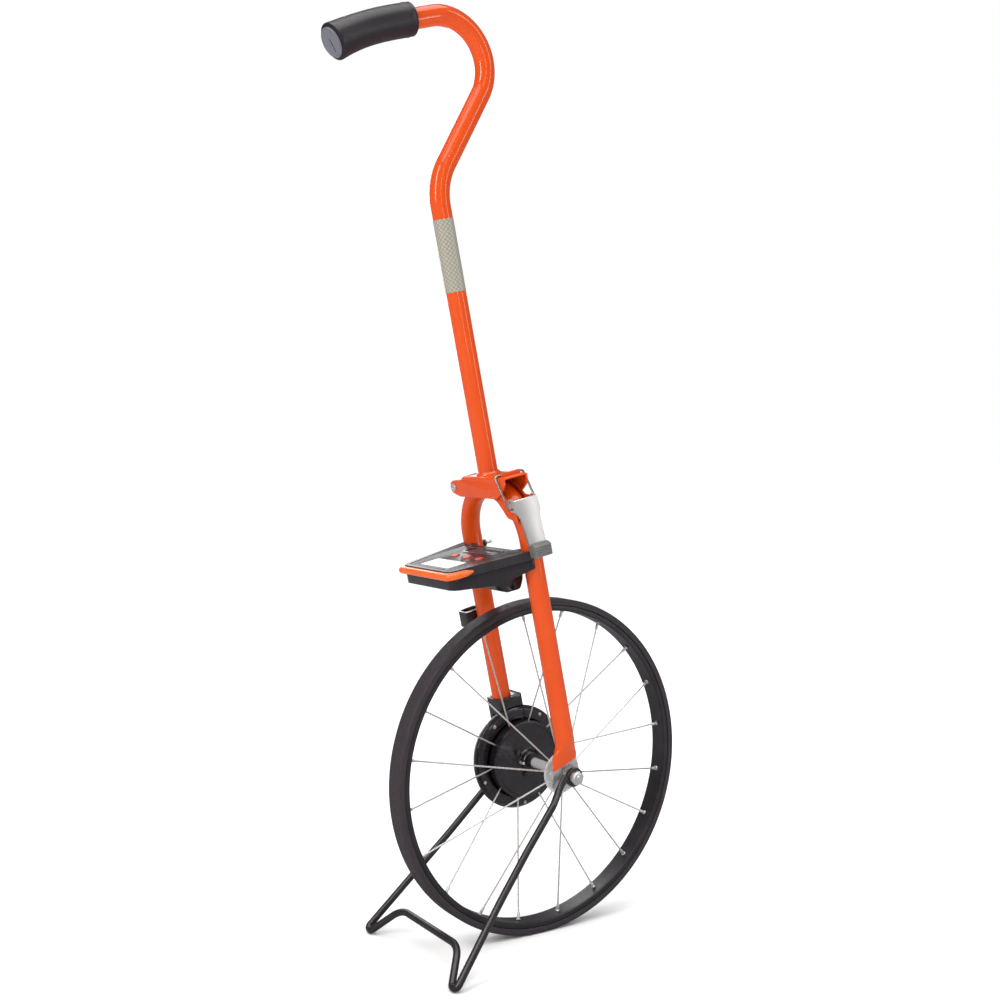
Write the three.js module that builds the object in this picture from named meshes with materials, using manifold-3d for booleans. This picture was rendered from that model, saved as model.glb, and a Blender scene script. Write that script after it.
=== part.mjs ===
// Measuring wheel: a spoked wheel in a bent-tube fork, with a counter, a fold-down handle, a toggle
// latch and a wire stand. Millimetres, Z up, X forward, Y along the axle (the wire spokes' steel
// flange is on the -Y side). The origin is the point of the tread that touches the ground.
import * as THREE from "three";
import { mergeVertices, toCreasedNormals } from "three/addons/utils/BufferGeometryUtils.js";
import Module from "manifold-3d";

// ---- driving dimensions -------------------------------------------------------------------
const TREAD_RADIUS = 194.04; // rolls 4 ft per turn
const LEAN = 13.6; // fork and handle lean back from upright, degrees
const WHEEL_SIDES = 72;
const GAP = 0.3; // clearance between pieces that touch

const TYRE_HALF_WIDTH = 12.4;
const RIM_OUTER = 186;
const RIM_INNER = 179.6;
const RIM_HALF_WIDTH = 11.4;
const SPOKES = 20;
const FIRST_SPOKE = 117.77;
const SPOKE_RADIUS = 0.95;

const TUBE = 11.1; // radius of the fork and handle tube
const TUBE_BORE = 9.6;
const LEG_Y = 58.2; // half the distance between the fork legs, and the radius of the arch
const ARCH_U = 273; // height of the arch centre above the axle, along the legs
const SOCKET_END_U = 63; // where the far leg stops inside its socket
const AXLE_RADIUS = 4;

const FOLD = { y: 50.7, u: 332.6 }; // pin the handle folds about
const LEVER_PIVOT = { y: -55.5, u: 319 };
const BAIL_PIVOT = { y: -57.5, u: 311.5 };
const BAIL_TOP = { y: -40.5, u: 347.45 };
const CHANNEL = { half: 16.5, wall: 2.5, low: 322, top: 346 };

const BEND_A = [0, 665.5]; // corners of the gooseneck, as [forward, along the legs]
const BEND_B = [160.5, 852.5];
const BEND_C = [-55.6, 828.6];
const GRIP_END = [-93.1, 815.3];
const GRIP_LENGTH = 100;

const CASE = { rear: -101, front: -4, rearHalf: 50, frontHalf: 69.8, split: 254, top: 264, wall: 2.6 };
const BOLT_U = 258.2;
const KEYS = [-30, -6, 18];
const KEY_V = -50;

const STAND_ANGLE = 42; // behind straight down, degrees
const WIRE = 4;
const EYE_HALF = 2.7; // half the thickness of the stand's flattened eyes
const STAND_NEAR_Y = -64.3;
const STAND_FAR_Y = 71.7;
const TOE = 255.6; // how far the feet reach from the axle, along the stand

const LOOKS = {
  orange: [0xe8501f, 0.3, 0.1],
  rubber: [0x3f3a40, 0.75, 0],
  black: [0x1d1c1e, 0.45, 0],
  satin: [0x232225, 0.35, 0.3],
  grip: [0x1a181c, 0.7, 0],
  cap: [0x8f90a2, 0.5, 0],
  tape: [0xa5a08f, 0.5, 0],
  zinc: [0xb9bcc0, 0.35, 0.9],
  chrome: [0xd5d7da, 0.15, 1],
  stainless: [0xc3c5c7, 0.3, 0.95],
  key: [0xc9472b, 0.5, 0],
  window: [0x2a2d33, 0.1, 0],
  lcd: [0xb9c2a6, 0.35, 0],
  board: [0x1f5c3a, 0.6, 0],
  battery: [0x3c4350, 0.4, 0.2],
  magnet: [0x3a3a3c, 0.5, 0.4],
  grey: [0x6f7276, 0.55, 0],
};

// ---- solids and booleans ------------------------------------------------------------------
const wasm = await Module();
wasm.setup();

function solid(geometry) {
  const bare = geometry.clone();
  bare.deleteAttribute("normal");
  bare.deleteAttribute("uv");
  const merged = mergeVertices(bare, 1e-4);
  const vertProperties = new Float32Array(merged.attributes.position.array);
  const triVerts = new Uint32Array(merged.index.array);
  const build = () => new wasm.Manifold(new wasm.Mesh({ numProp: 3, vertProperties, triVerts }));
  const made = build();
  if (made.volume() >= 0) return made;
  for (let i = 0; i < triVerts.length; i += 3) {
    [triVerts[i + 1], triVerts[i + 2]] = [triVerts[i + 2], triVerts[i + 1]];
  }
  return build();
}

function geometryOf(made) {
  const mesh = made.getMesh();
  const geometry = new THREE.BufferGeometry();
  geometry.setAttribute("position", new THREE.BufferAttribute(new Float32Array(mesh.vertProperties), 3));
  geometry.setIndex(new THREE.BufferAttribute(new Uint32Array(mesh.triVerts), 1));
  return geometry;
}

const join = (...geometries) => geometryOf(geometries.map(solid).reduce((a, b) => a.add(b)));
const cut = (from, ...tools) => geometryOf(tools.map(solid).reduce((a, b) => a.subtract(b), solid(from)));
const common = (a, b) => geometryOf(solid(a).intersect(solid(b)));

// ---- shapes -------------------------------------------------------------------------------
const radians = THREE.MathUtils.degToRad;
const vec = (x, y, z) => new THREE.Vector3(x, y, z);

function box(x0, x1, y0, y1, z0, z1) {
  const made = new THREE.BoxGeometry(x1 - x0, y1 - y0, z1 - z0);
  return made.translate((x0 + x1) / 2, (y0 + y1) / 2, (z0 + z1) / 2);
}

// Turned about the Y axis from a profile of [radius, y] points; the profile closes on itself unless
// it starts and ends on the axis.
function turned(profile, segments, phase = 0) {
  const points = profile.map(([r, y]) => new THREE.Vector2(r, y));
  if (profile[0][0] > 0) points.push(points[0].clone());
  return new THREE.LatheGeometry(points, segments, phase);
}

function washer(inner, outer, y0, y1, segments = 24) {
  return turned([[inner, y0], [outer, y0], [outer, y1], [inner, y1]], segments);
}

// A round bar between two points.
function rod(from, to, radius, sides = 16) {
  const along = to.clone().sub(from);
  const made = new THREE.CylinderGeometry(radius, radius, along.length(), sides);
  const turn = new THREE.Quaternion().setFromUnitVectors(vec(0, 1, 0), along.clone().normalize());
  return made.applyQuaternion(turn).translate(...from.clone().add(to).multiplyScalar(0.5).toArray());
}

// A loop of [a, b] corners with each corner rounded.
function rounded(corners, radius, steps = 4) {
  const out = [];
  corners.forEach(([a, b], i) => {
    const here = new THREE.Vector2(a, b);
    const before = new THREE.Vector2(...corners[(i + corners.length - 1) % corners.length]);
    const after = new THREE.Vector2(...corners[(i + 1) % corners.length]);
    const back = before.sub(here);
    const ahead = after.sub(here);
    const reach = Math.min(radius, back.length() * 0.45, ahead.length() * 0.45);
    const start = here.clone().addScaledVector(back.normalize(), reach);
    const end = here.clone().addScaledVector(ahead.normalize(), reach);
    for (let k = 0; k <= steps; k++) {
      const t = k / steps;
      out.push([
        start.x * (1 - t) ** 2 + 2 * here.x * t * (1 - t) + end.x * t ** 2,
        start.y * (1 - t) ** 2 + 2 * here.y * t * (1 - t) + end.y * t ** 2,
      ]);
    }
  });
  return out;
}

// A flat outline pushed along one axis. Outlines are [y, z] for x, [x, z] for y and [x, y] for z.
function slab(outline, axis, from, to) {
  const shape = new THREE.Shape(outline.map(([a, b]) => new THREE.Vector2(a, b)));
  const made = new THREE.ExtrudeGeometry(shape, { depth: to - from, bevelEnabled: false });
  const basis = new THREE.Matrix4();
  if (axis === "x") basis.makeBasis(vec(0, 1, 0), vec(0, 0, 1), vec(1, 0, 0)).setPosition(from, 0, 0);
  if (axis === "y") basis.makeBasis(vec(1, 0, 0), vec(0, 0, 1), vec(0, -1, 0)).setPosition(0, to, 0);
  if (axis === "z") basis.setPosition(0, 0, from);
  return made.applyMatrix4(basis);
}

const mirrorY = (outline) => [...outline, ...outline.map(([a, b]) => [a, -b]).reverse()];

// Stations along a polyline whose corners are rounded: { at, along }, closer together in the bends.
function stations(corners, degrees = 15) {
  const points = corners.map(([x, y, z]) => vec(x, y, z));
  const out = [{ at: points[0], along: points[1].clone().sub(points[0]).normalize() }];
  for (let i = 1; i < points.length - 1; i++) {
    const back = points[i - 1].clone().sub(points[i]).normalize();
    const ahead = points[i + 1].clone().sub(points[i]).normalize();
    const turn = Math.PI - back.angleTo(ahead);
    const radius = corners[i][3];
    const reach = radius * Math.tan(turn / 2);
    const middle = back.clone().add(ahead).normalize();
    const centre = points[i].clone().addScaledVector(middle, radius / Math.cos(turn / 2));
    const start = points[i].clone().addScaledVector(back, reach).sub(centre);
    const axis = back.clone().negate().cross(ahead).normalize();
    const steps = Math.max(2, Math.ceil(turn / radians(degrees)));
    for (let k = 0; k <= steps; k++) {
      const spin = new THREE.Quaternion().setFromAxisAngle(axis, (turn * k) / steps);
      out.push({
        at: start.clone().applyQuaternion(spin).add(centre),
        along: back.clone().negate().applyQuaternion(spin),
      });
    }
  }
  const last = points.length - 1;
  out.push({ at: points[last], along: points[last].clone().sub(points[last - 1]).normalize() });
  return out;
}

// Rings round a path; radiusAt gives the radius for a distance along it.
function rings(path, radiusAt, sides) {
  let side = Math.abs(path[0].along.y) < 0.9 ? vec(0, 1, 0) : vec(1, 0, 0);
  let travelled = 0;
  return path.map(({ at, along }, i) => {
    if (i > 0) travelled += at.distanceTo(path[i - 1].at);
    side = side.clone().addScaledVector(along, -side.dot(along)).normalize();
    const other = along.clone().cross(side);
    const radius = radiusAt(travelled);
    return Array.from({ length: sides }, (_, k) => {
      const angle = (2 * Math.PI * k) / sides;
      const [a, b] = [radius * Math.cos(angle), radius * Math.sin(angle)];
      return at.clone().addScaledVector(side, a).addScaledVector(other, b);
    });
  });
}

// Skin over a row of rings, capped at both ends, or joined end to start when looped.
function loft(rows, looped = false) {
  const sides = rows[0].length;
  const points = rows.flat();
  const index = [];
  const spans = looped ? rows.length : rows.length - 1;
  for (let r = 0; r < spans; r++) {
    const next = (r + 1) % rows.length;
    for (let k = 0; k < sides; k++) {
      const l = (k + 1) % sides;
      const [a, b] = [r * sides + k, r * sides + l];
      const [c, d] = [next * sides + k, next * sides + l];
      index.push(a, b, d, a, d, c);
    }
  }
  if (!looped) {
    const tail = (rows.length - 1) * sides;
    for (let k = 1; k < sides - 1; k++) {
      index.push(0, k + 1, k);
      index.push(tail, tail + k, tail + k + 1);
    }
  }
  const geometry = new THREE.BufferGeometry().setFromPoints(points);
  geometry.setIndex(index);
  return geometry;
}

const bar = (path, radius, sides = 12) => loft(rings(path, () => radius, sides));
const pipe = (path, outerAt, bore, sides = 18) =>
  loft([...rings(path, outerAt, sides), ...rings(path, () => bore, sides).reverse()], true);

// ---- assembly -----------------------------------------------------------------------------
const part = new THREE.Group();
const axleSpace = new THREE.Group(); // origin on the wheel centre, square to the ground
axleSpace.position.set(0, 0, TREAD_RADIUS);
const legSpace = new THREE.Group(); // the same origin: X forward, Z up along the legs
legSpace.position.copy(axleSpace.position);
legSpace.rotation.y = -radians(LEAN);
part.add(axleSpace, legSpace);

function add(space, name, geometry, look) {
  const [color, roughness, metalness] = LOOKS[look];
  const closed = geometryOf(solid(geometry));
  const mesh = new THREE.Mesh(
    toCreasedNormals(closed, 0.6),
    new THREE.MeshStandardMaterial({ color, roughness, metalness }),
  );
  mesh.name = name;
  space.add(mesh);
}

// ---- wheel --------------------------------------------------------------------------------
const halfStep = Math.PI / WHEEL_SIDES; // puts a flat of the tread on the ground
const flatFit = 1 / Math.cos(halfStep);

function makeTyre() {
  const tread = TREAD_RADIUS * flatFit;
  const seat = RIM_OUTER * flatFit + GAP;
  const inner = 183 * flatFit;
  const half = [
    [inner, 8.6],
    [seat, 8.6],
    [seat + 0.6, TYRE_HALF_WIDTH],
    [tread - 0.7, TYRE_HALF_WIDTH],
    [tread, TYRE_HALF_WIDTH - 0.8],
  ];
  return turned(mirrorY(half), WHEEL_SIDES, halfStep);
}

function makeRim() {
  const half = [
    [RIM_INNER, RIM_HALF_WIDTH],
    [RIM_OUTER, RIM_HALF_WIDTH],
    [RIM_OUTER, RIM_HALF_WIDTH - 2.3],
    [182.4, RIM_HALF_WIDTH - 2.3],
  ];
  return turned(mirrorY(half), WHEEL_SIDES, halfStep);
}

function makeSpoke(index) {
  const near = index % 2 === 1;
  const angle = radians(FIRST_SPOKE + (360 / SPOKES) * index);
  const outwards = vec(Math.cos(angle), 0, Math.sin(angle));
  const from = outwards.clone().multiplyScalar(near ? 21 : 46).setY(near ? -38.3 : 34.5);
  const to = outwards.clone().multiplyScalar(178.8);
  const along = to.clone().sub(from);
  const length = along.length();
  const profile = [
    [0, 0],
    [SPOKE_RADIUS, 0],
    [SPOKE_RADIUS, length - 8],
    [1.9, length - 7],
    [1.9, length],
    [0, length],
  ];
  const turn = new THREE.Quaternion().setFromUnitVectors(vec(0, 1, 0), along.normalize());
  return turned(profile, 6).applyQuaternion(turn).translate(...from.toArray());
}

function makeHubShell() {
  return turned(
    [
      [11.3, -49.5],
      [12.8, -49.5],
      [12.8, -42.3],
      [24, -42.3],
      [24, -39.8],
      [8, -39.8],
      [5.5, -36.5],
      [5.5, 26],
      [4.4, 26],
      [4.4, -41.6],
      [11.3, -41.6],
    ],
    32,
  );
}

function makeHubDrum() {
  return turned(
    [
      [5.8, 10.5],
      [7, 10.5],
      [9, 27],
      [41.5, 27],
      [41.5, 25.5],
      [45.5, 25.5],
      [45.5, 39],
      [43, 39],
      [43, 29.5],
      [13.5, 29.5],
      [13.5, 37],
      [11.3, 37],
      [11.3, 29.3],
      [5.8, 29.3],
    ],
    36,
  );
}

add(axleSpace, "tyre", makeTyre(), "rubber");
add(axleSpace, "rim", makeRim(), "black");
for (let i = 1; i <= SPOKES; i++) {
  add(axleSpace, `spoke_${String(i).padStart(2, "0")}`, makeSpoke(i), "zinc");
}
add(axleSpace, "hub_shell", makeHubShell(), "chrome");
add(axleSpace, "hub_drum", makeHubDrum(), "black");
add(axleSpace, "bearing_near", washer(4.2, 11, -49.3, -42.3), "stainless");
add(axleSpace, "bearing_far", washer(4.2, 11, 29.8, 36.8), "stainless");
add(axleSpace, "magnet_ring", washer(35, 42.6, 29.8, 36), "magnet");

// ---- axle and housing ---------------------------------------------------------------------
// A flange, the sleeve one eye of the stand turns on, and the nut that keeps it there.
function makeAxleNut(flangeY, side) {
  const at = (distance) => flangeY + side * distance;
  const bush = turned(
    [
      [0, at(0)],
      [9, at(0)],
      [9, at(2)],
      [6.6, at(2)],
      [6.6, at(10)],
      [0, at(10)],
    ],
    24,
  );
  const nut = rod(vec(0, at(9), 0), vec(0, at(14.5), 0), 8.6, 6);
  return cut(join(bush, nut), rod(vec(0, -90, 0), vec(0, 90, 0), AXLE_RADIUS + 0.2, 20));
}

function makeHousing() {
  const shell = turned(
    [
      [AXLE_RADIUS + 0.2, 50],
      [10, 50],
      [11, 63],
      [46, 63],
      [54.5, 52],
      [58, 47.3],
      [61, 47.3],
      [58, 53.5],
      [50, 66],
      [AXLE_RADIUS + 0.2, 66],
    ],
    40,
  );
  const block = slab(rounded([[-13, 41.5], [19, 41.5], [19, 72.6], [-13, 72.6]], 4, 3), "z", 47, 74);
  const clearance = rod(vec(0, 40, 0), vec(0, 62.9, 0), 56, 40);
  const ringSeat = rod(vec(0, 40, 0), vec(0, 47.3, 0), 61.8, 40);
  const bore = rod(vec(0, LEG_Y, SOCKET_END_U - GAP), vec(0, LEG_Y, 80), TUBE + GAP, 20);
  return cut(join(shell, cut(block, clearance, ringSeat)), bore);
}

function makeHousingRing() {
  return turned([[47, 39.3], [58, 39.3], [61.5, 44], [61.5, 47], [47, 47]], 40);
}

function makeSensorBoard() {
  const board = box(-22, 22, 52, 53.6, -42, -16);
  const sensor = box(-8, 8, 47.5, 52.5, -40, -32);
  return join(board, sensor);
}

add(axleSpace, "axle", rod(vec(0, -75, 0), vec(0, 83, 0), AXLE_RADIUS, 20), "zinc");
add(axleSpace, "axle_nut_near", makeAxleNut(-58.3, -1), "zinc");
add(axleSpace, "axle_nut_far", makeAxleNut(66.3, 1), "zinc");
add(legSpace, "sensor_housing", makeHousing(), "black");
add(axleSpace, "housing_ring", makeHousingRing(), "black");
add(legSpace, "sensor_board", makeSensorBoard(), "board");

// ---- fork ---------------------------------------------------------------------------------
function makeForkTube() {
  const sides = 18;
  const foot = 42;
  const crown = ARCH_U + LEG_Y;
  const walk = (low) =>
    stations(
      [
        [0, LEG_Y, SOCKET_END_U],
        [0, LEG_Y, crown, LEG_Y],
        [0, -LEG_Y, crown, LEG_Y],
        [0, -LEG_Y, low],
      ],
      11.25,
    );
  const outer = rings(walk(foot), () => TUBE, sides);
  const inner = rings(walk(foot + 2), () => TUBE_BORE, sides).reverse();
  // The near leg is pressed flat and spreads below the round part.
  const pressed = [
    { u: 36, v: -1.5, y: -58.6, wide: 12.6, thick: 7.6 },
    { u: 30, v: -4.5, y: -59.6, wide: 15.6, thick: 3.2 },
    { u: 25, v: -5.5, y: -60.1, wide: 17, thick: 1.9 },
    { u: 17, v: -6, y: -60.1, wide: 16.6, thick: 1.8 },
  ];
  const last = outer[outer.length - 1];
  const flats = pressed.map(({ u, v, y, wide, thick }) =>
    last.map((p) => {
      const across = p.x / TUBE;
      const through = (p.y + LEG_Y) / TUBE;
      const slope = u < 20 ? across * 3 : 0;
      return vec(v + across * wide, y + through * thick, u + slope);
    }),
  );
  const tube = loft([...inner, ...outer, ...flats]);
  const bolts = [-LEG_Y, LEG_Y].map((y) => rod(vec(-20, y, BOLT_U), vec(20, y, BOLT_U), 2.4, 10));
  return cut(tube, ...bolts);
}

// Side plates over the arch with a plate across their near end, and studs for the latch lever.
function makeHeadBracket() {
  const cheek = [
    [-62, 296],
    [-44, 300.7],
    [-36, 310.5],
    [-29, 318],
    [-20, 322.4],
    [42, 322.4],
    [52, 324.5],
    [58.2, 329],
    [58.2, 335],
    [55, 339.3],
    [50, 340.4],
    [30, 340],
    [-30, 337],
    [-41.5, 325.6],
    [-46.5, 321.5],
    [-58, 321.3],
    [-63, 318],
    [-63, 306],
  ];
  const sides = [-13.6, 11.3].map((v) => slab(cheek, "x", v, v + 2.3));
  const across = box(-13.6, 13.6, -63, -61.2, 306.2, 318);
  const studs = [-1, 1].map((s) => {
    const { y, u } = LEVER_PIVOT;
    return rod(vec(s * 12, y, u), vec(s * 15.3, y, u), 1.8, 12);
  });
  const pin = rod(vec(-20, FOLD.y, FOLD.u), vec(20, FOLD.y, FOLD.u), 3.3, 16);
  return cut(join(...sides, across, ...studs), pin);
}

function makeHingePin() {
  const profile = [
    [0, -18.4],
    [4.5, -18.4],
    [4.5, -16.8],
    [3, -16.8],
    [3, 16.8],
    [4.5, 16.8],
    [4.5, 18.4],
    [0, 18.4],
  ];
  return turned(profile, 16).rotateZ(-Math.PI / 2).translate(0, FOLD.y, FOLD.u);
}

function makeDropout() {
  const outline = rounded(
    [
      [-20, 24.5],
      [10, 24.5],
      [13, 12],
      [13, -10],
      [2, -14.5],
      [-12, -12],
      [-27.5, -7],
      [-27.5, 14],
      [-21, 15],
    ],
    4,
    2,
  );
  const plate = slab(outline, "y", -57.9, -55.2);
  const tabPlan = rounded([[-27.5, -60.6], [-27.5, -56], [-24.8, -56], [-24.8, -60.6]], 0.8, 1);
  const tab = slab(tabPlan, "z", -5, 13);
  const hole = rod(vec(0, -70, 0), vec(0, -50, 0), AXLE_RADIUS + 0.2, 16);
  return cut(join(plate, tab), hole);
}

// A C-shaped clip on the far leg that the stand's wire springs into when it is folded up.
function makeStandClip() {
  const section = rounded(
    [
      [3, 87.8],
      [-18, 87.8],
      [-22, 84],
      [-22, 66],
      [-5, 66],
      [-1, 69.5],
      [-1, 72],
      [-18, 72],
      [-19, 74],
      [-19, 83],
      [-17, 85.4],
      [0, 85.4],
      [1.6, 82.4],
      [4, 83.4],
    ],
    1,
    1,
  );
  const clip = slab(section, "z", 163, 182);
  return cut(clip, rod(vec(0, LEG_Y, 150), vec(0, LEG_Y, 200), TUBE + GAP, 20));
}

add(legSpace, "fork_tube", makeForkTube(), "orange");
add(legSpace, "head_bracket", makeHeadBracket(), "orange");
add(legSpace, "hinge_pin", makeHingePin(), "zinc");
add(legSpace, "dropout_plate", makeDropout(), "zinc");
add(legSpace, "stand_clip", makeStandClip(), "black");

// ---- counter ------------------------------------------------------------------------------
// Plan of the case as [forward, across], grown by an offset.
function casePlan(offset) {
  const { rear, front, rearHalf, frontHalf } = CASE;
  const half = [
    [rear - offset, rearHalf + offset],
    [front + offset, frontHalf + offset],
    [front + offset, 44],
    [-11 + offset, 40],
  ];
  return rounded(mirrorY(half), 9, 3);
}

// Underside as [forward, along the legs], lifted by an amount.
const underside = (lift) => [
  [-4, 244.7 + lift],
  [-47, 237 + lift],
  [-53, 237.5 + lift],
  [-101, 243.4 + lift],
];

const legCutters = (radius) =>
  [-LEG_Y, LEG_Y].map((y) => rod(vec(0, y, 225), vec(0, y, 275), radius, 20));
const boltCutters = () =>
  [-LEG_Y, LEG_Y].map((y) => rod(vec(-25, y, BOLT_U), vec(0, y, BOLT_U), 2.4, 10));

function makeCounterBase() {
  const { split, wall } = CASE;
  const profile = [...underside(0), [-103, 243.4], [-103, split], [-3, split], [-3, 244.7]];
  const block = common(slab(casePlan(0), "z", 230, split), slab(profile, "y", -75, 75));
  const foot = [
    [-43, 246],
    [-42, 234],
    [-34, 222],
    [-14, 221],
    [-8, 232],
    [-8, 246],
  ];
  const boss = slab(rounded(foot, 3, 2), "y", -45, 45);
  const hollow = [...underside(wall), [-106, 246], [-106, split + 1], [0, split + 1]];
  const pocket = common(slab(casePlan(-wall), "z", 232, split + 1), slab(hollow, "y", -75, 75));
  const room = cut(pocket, ...legCutters(TUBE + wall));
  const recess = slab(
    [
      [-90.3, 240],
      [-63.7, 236],
      [-63.7, 240.6],
      [-90.3, 244.1],
    ],
    "y",
    -22.3,
    22.3,
  );
  return cut(join(block, boss), room, recess, ...legCutters(TUBE + GAP));
}

function makeBatteryCover() {
  const outline = [
    [-90, 242.4],
    [-64, 239],
    [-64, 240.3],
    [-90, 243.7],
  ];
  return slab(outline, "y", -22, 22);
}

// Plan of the display window, grown by an offset.
const windowPlan = (offset) =>
  rounded(
    [
      [-34 - offset, -32 - offset],
      [-18 + offset, -32 - offset],
      [-18 + offset, 25 + offset],
      [-34 - offset, 25 + offset],
    ],
    4,
    3,
  );

function makeCounterTop() {
  const { split, top, wall } = CASE;
  const block = slab(casePlan(0), "z", split + GAP, top - 1.2);
  const lid = slab(casePlan(-1.2), "z", top - 2, top);
  const pocket = cut(slab(casePlan(-wall), "z", split, top - 2.5), ...legCutters(TUBE + wall));
  const opening = slab(windowPlan(GAP), "z", 260, 270);
  const keyHoles = KEYS.map((y) => rod(vec(KEY_V, y, 260), vec(KEY_V, y, 270), 5.3, 16));
  return cut(join(block, lid), pocket, opening, ...keyHoles, ...legCutters(TUBE + GAP), ...boltCutters());
}

function makeBumper() {
  const half = [
    [-74, 30],
    [-74, 56.2],
    [-94, 58.4],
    [-107.4, 52.2],
    [-108, 21],
  ];
  const strip = slab(rounded(mirrorY(half), 7, 3), "z", 255, 263);
  const inside = slab(casePlan(GAP), "z", 250, 270);
  return cut(strip, inside);
}

function makeCounterBolt(y) {
  const head = rod(vec(-17.4, y, BOLT_U), vec(-14.4, y, BOLT_U), 3.1, 12);
  const shank = rod(vec(-15, y, BOLT_U), vec(24.5, y, BOLT_U), 2, 12);
  const nut = rod(vec(11.5, y, BOLT_U), vec(16, y, BOLT_U), 4.6, 6);
  return join(head, shank, nut);
}

function makeKey(y) {
  const profile = [
    [0, 258.6],
    [5, 258.6],
    [5, 263.9],
    [4.2, 264.6],
    [0, 264.6],
  ];
  return turned(profile, 16).rotateX(Math.PI / 2).translate(KEY_V, y, 0);
}

function makeBattery() {
  const cells = [-82.5, -69].map((v) => rod(vec(v, -25, 253), vec(v, 25, 253), 7.2, 16));
  return join(...cells);
}

add(legSpace, "counter_base", makeCounterBase(), "black");
add(legSpace, "counter_top", makeCounterTop(), "black");
add(legSpace, "counter_bumper", makeBumper(), "orange");
add(legSpace, "counter_window", slab(windowPlan(0), "z", 261.9, 263.5), "window");
add(legSpace, "counter_lcd", box(-32.5, -19.5, -28, 21, 258.2, 261.2), "lcd");
add(legSpace, "counter_board", box(-57, -14.6, -44, 44, 256, 257.4), "board");
add(legSpace, "battery", makeBattery(), "battery");
add(legSpace, "battery_cover", makeBatteryCover(), "black");
add(legSpace, "counter_bolt_near", makeCounterBolt(-LEG_Y), "zinc");
add(legSpace, "counter_bolt_far", makeCounterBolt(LEG_Y), "zinc");
KEYS.forEach((y, i) => add(legSpace, `key_${i + 1}`, makeKey(y), "key"));

// ---- handle -------------------------------------------------------------------------------
const inPlane = ([v, u], bend) => [v, 0, u, bend];

// The gooseneck's path from one height on the pole to a point short of the grip's end.
function handlePath(short) {
  const run = stations(
    [
      inPlane([0, CHANNEL.top + GAP]),
      inPlane(BEND_A, 68),
      inPlane(BEND_B, 51.5),
      inPlane(BEND_C, 320),
      inPlane(GRIP_END),
    ],
    11.25,
  );
  const last = run[run.length - 1];
  last.at = last.at.clone().addScaledVector(last.along, -short);
  return run;
}

// The last stretch of the same path, walked from its end, so that the grip hugs the tube.
function gripPathFromEnd() {
  const back = handlePath(0)
    .reverse()
    .map(({ at, along }) => ({ at, along: along.clone().negate() }));
  const path = [back[0]];
  let left = GRIP_LENGTH;
  for (let i = 1; i < back.length && left > 0; i++) {
    const from = back[i - 1];
    const step = from.at.distanceTo(back[i].at);
    const whole = step <= left;
    const cutOff = from.at.clone().addScaledVector(from.along, left);
    path.push(whole ? back[i] : { at: cutOff, along: from.along });
    left -= step;
  }
  return path;
}

function makeUpperBracket() {
  const { half, wall, low, top } = CHANNEL;
  const side = [
    [-52, top],
    [-52, 337],
    [-47, 331],
    [-40, 326],
    [-34, low],
    [40, low],
    [50, 324.4],
    [56.5, 327],
    [58.8, 332.6],
    [56.5, 338.2],
    [50, 340.8],
    [34, 340.8],
    [29, top],
  ];
  const section = rounded([[-half, low - 2], [half, low - 2], [half, top], [-half, top]], 2.5, 2);
  const body = common(slab(section, "y", -60, 60), slab(side, "x", -half - 1, half + 1));
  const inside = box(wall - half, half - wall, -70, 70, low - 5, top - wall);
  const slot = box(wall - half, half - wall, 29, 70, low - 5, top + 5);
  const lip = slab([[-45.6, 345], [-43.2, 345], [-43, 349], [-43.8, 350], [-45.6, 349.4]], "x", -12, 12);
  const pin = rod(vec(-20, FOLD.y, FOLD.u), vec(20, FOLD.y, FOLD.u), 3.3, 16);
  return cut(join(cut(body, inside, slot), lip), pin);
}

add(legSpace, "upper_bracket", makeUpperBracket(), "orange");
add(legSpace, "handle_tube", pipe(handlePath(3), () => TUBE, TUBE_BORE), "orange");
add(legSpace, "reflective_band", turned(
  [[TUBE + 0.25, 548.7], [TUBE + 0.7, 548.7], [TUBE + 0.7, 626.9], [TUBE + 0.25, 626.9]], 24,
).rotateX(Math.PI / 2), "tape");

const gripPath = gripPathFromEnd();
const gripRadius = (fromEnd) => 17.5 + 2 * Math.max(0, 1 - fromEnd / 45) ** 2;
add(legSpace, "grip", pipe(gripPath, gripRadius, TUBE + GAP), "grip");
const capStart = gripPath[0];
add(legSpace, "grip_cap", rod(
  capStart.at.clone().addScaledVector(capStart.along, -GAP),
  capStart.at.clone().addScaledVector(capStart.along, -2.2),
  15.6, 24,
), "cap");

// ---- latch --------------------------------------------------------------------------------
function makeLever() {
  const face = (shift, grow) => [
    [-64.6 + shift, 321 + grow],
    [-74 + shift, 270 - grow],
  ];
  const outerSide = [
    ...face(0, 0),
    [-70, 270],
    [-64.4, 307.4],
    [-55, 308],
    [-53, 311],
    [-51.8, 318],
    [-53, 321.8],
    [-56, 322.8],
  ];
  const innerSide = [...face(1.5, 3), [-40, 267], [-40, 324]];
  const front = (inset, grow) => {
    const half = [
      [10.8, 270 - grow],
      [12.4, 300],
      [15.3, 306.5],
      [15.3, 324 + grow],
    ].map(([v, u]) => [v - inset, u]);
    return [...half, ...half.map(([v, u]) => [-v, u]).reverse()];
  };
  const outer = common(slab(outerSide, "x", -16, 16), slab(front(0, 0), "y", -80, -30));
  const inner = common(slab(innerSide, "x", -16, 16), slab(front(1.3, 5), "y", -80, -30));
  const holes = [
    rod(vec(-20, LEVER_PIVOT.y, LEVER_PIVOT.u), vec(20, LEVER_PIVOT.y, LEVER_PIVOT.u), 2.1, 12),
    rod(vec(-20, BAIL_PIVOT.y, BAIL_PIVOT.u), vec(20, BAIL_PIVOT.y, BAIL_PIVOT.u), 1.6, 12),
  ];
  return cut(outer, inner, ...holes);
}

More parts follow.
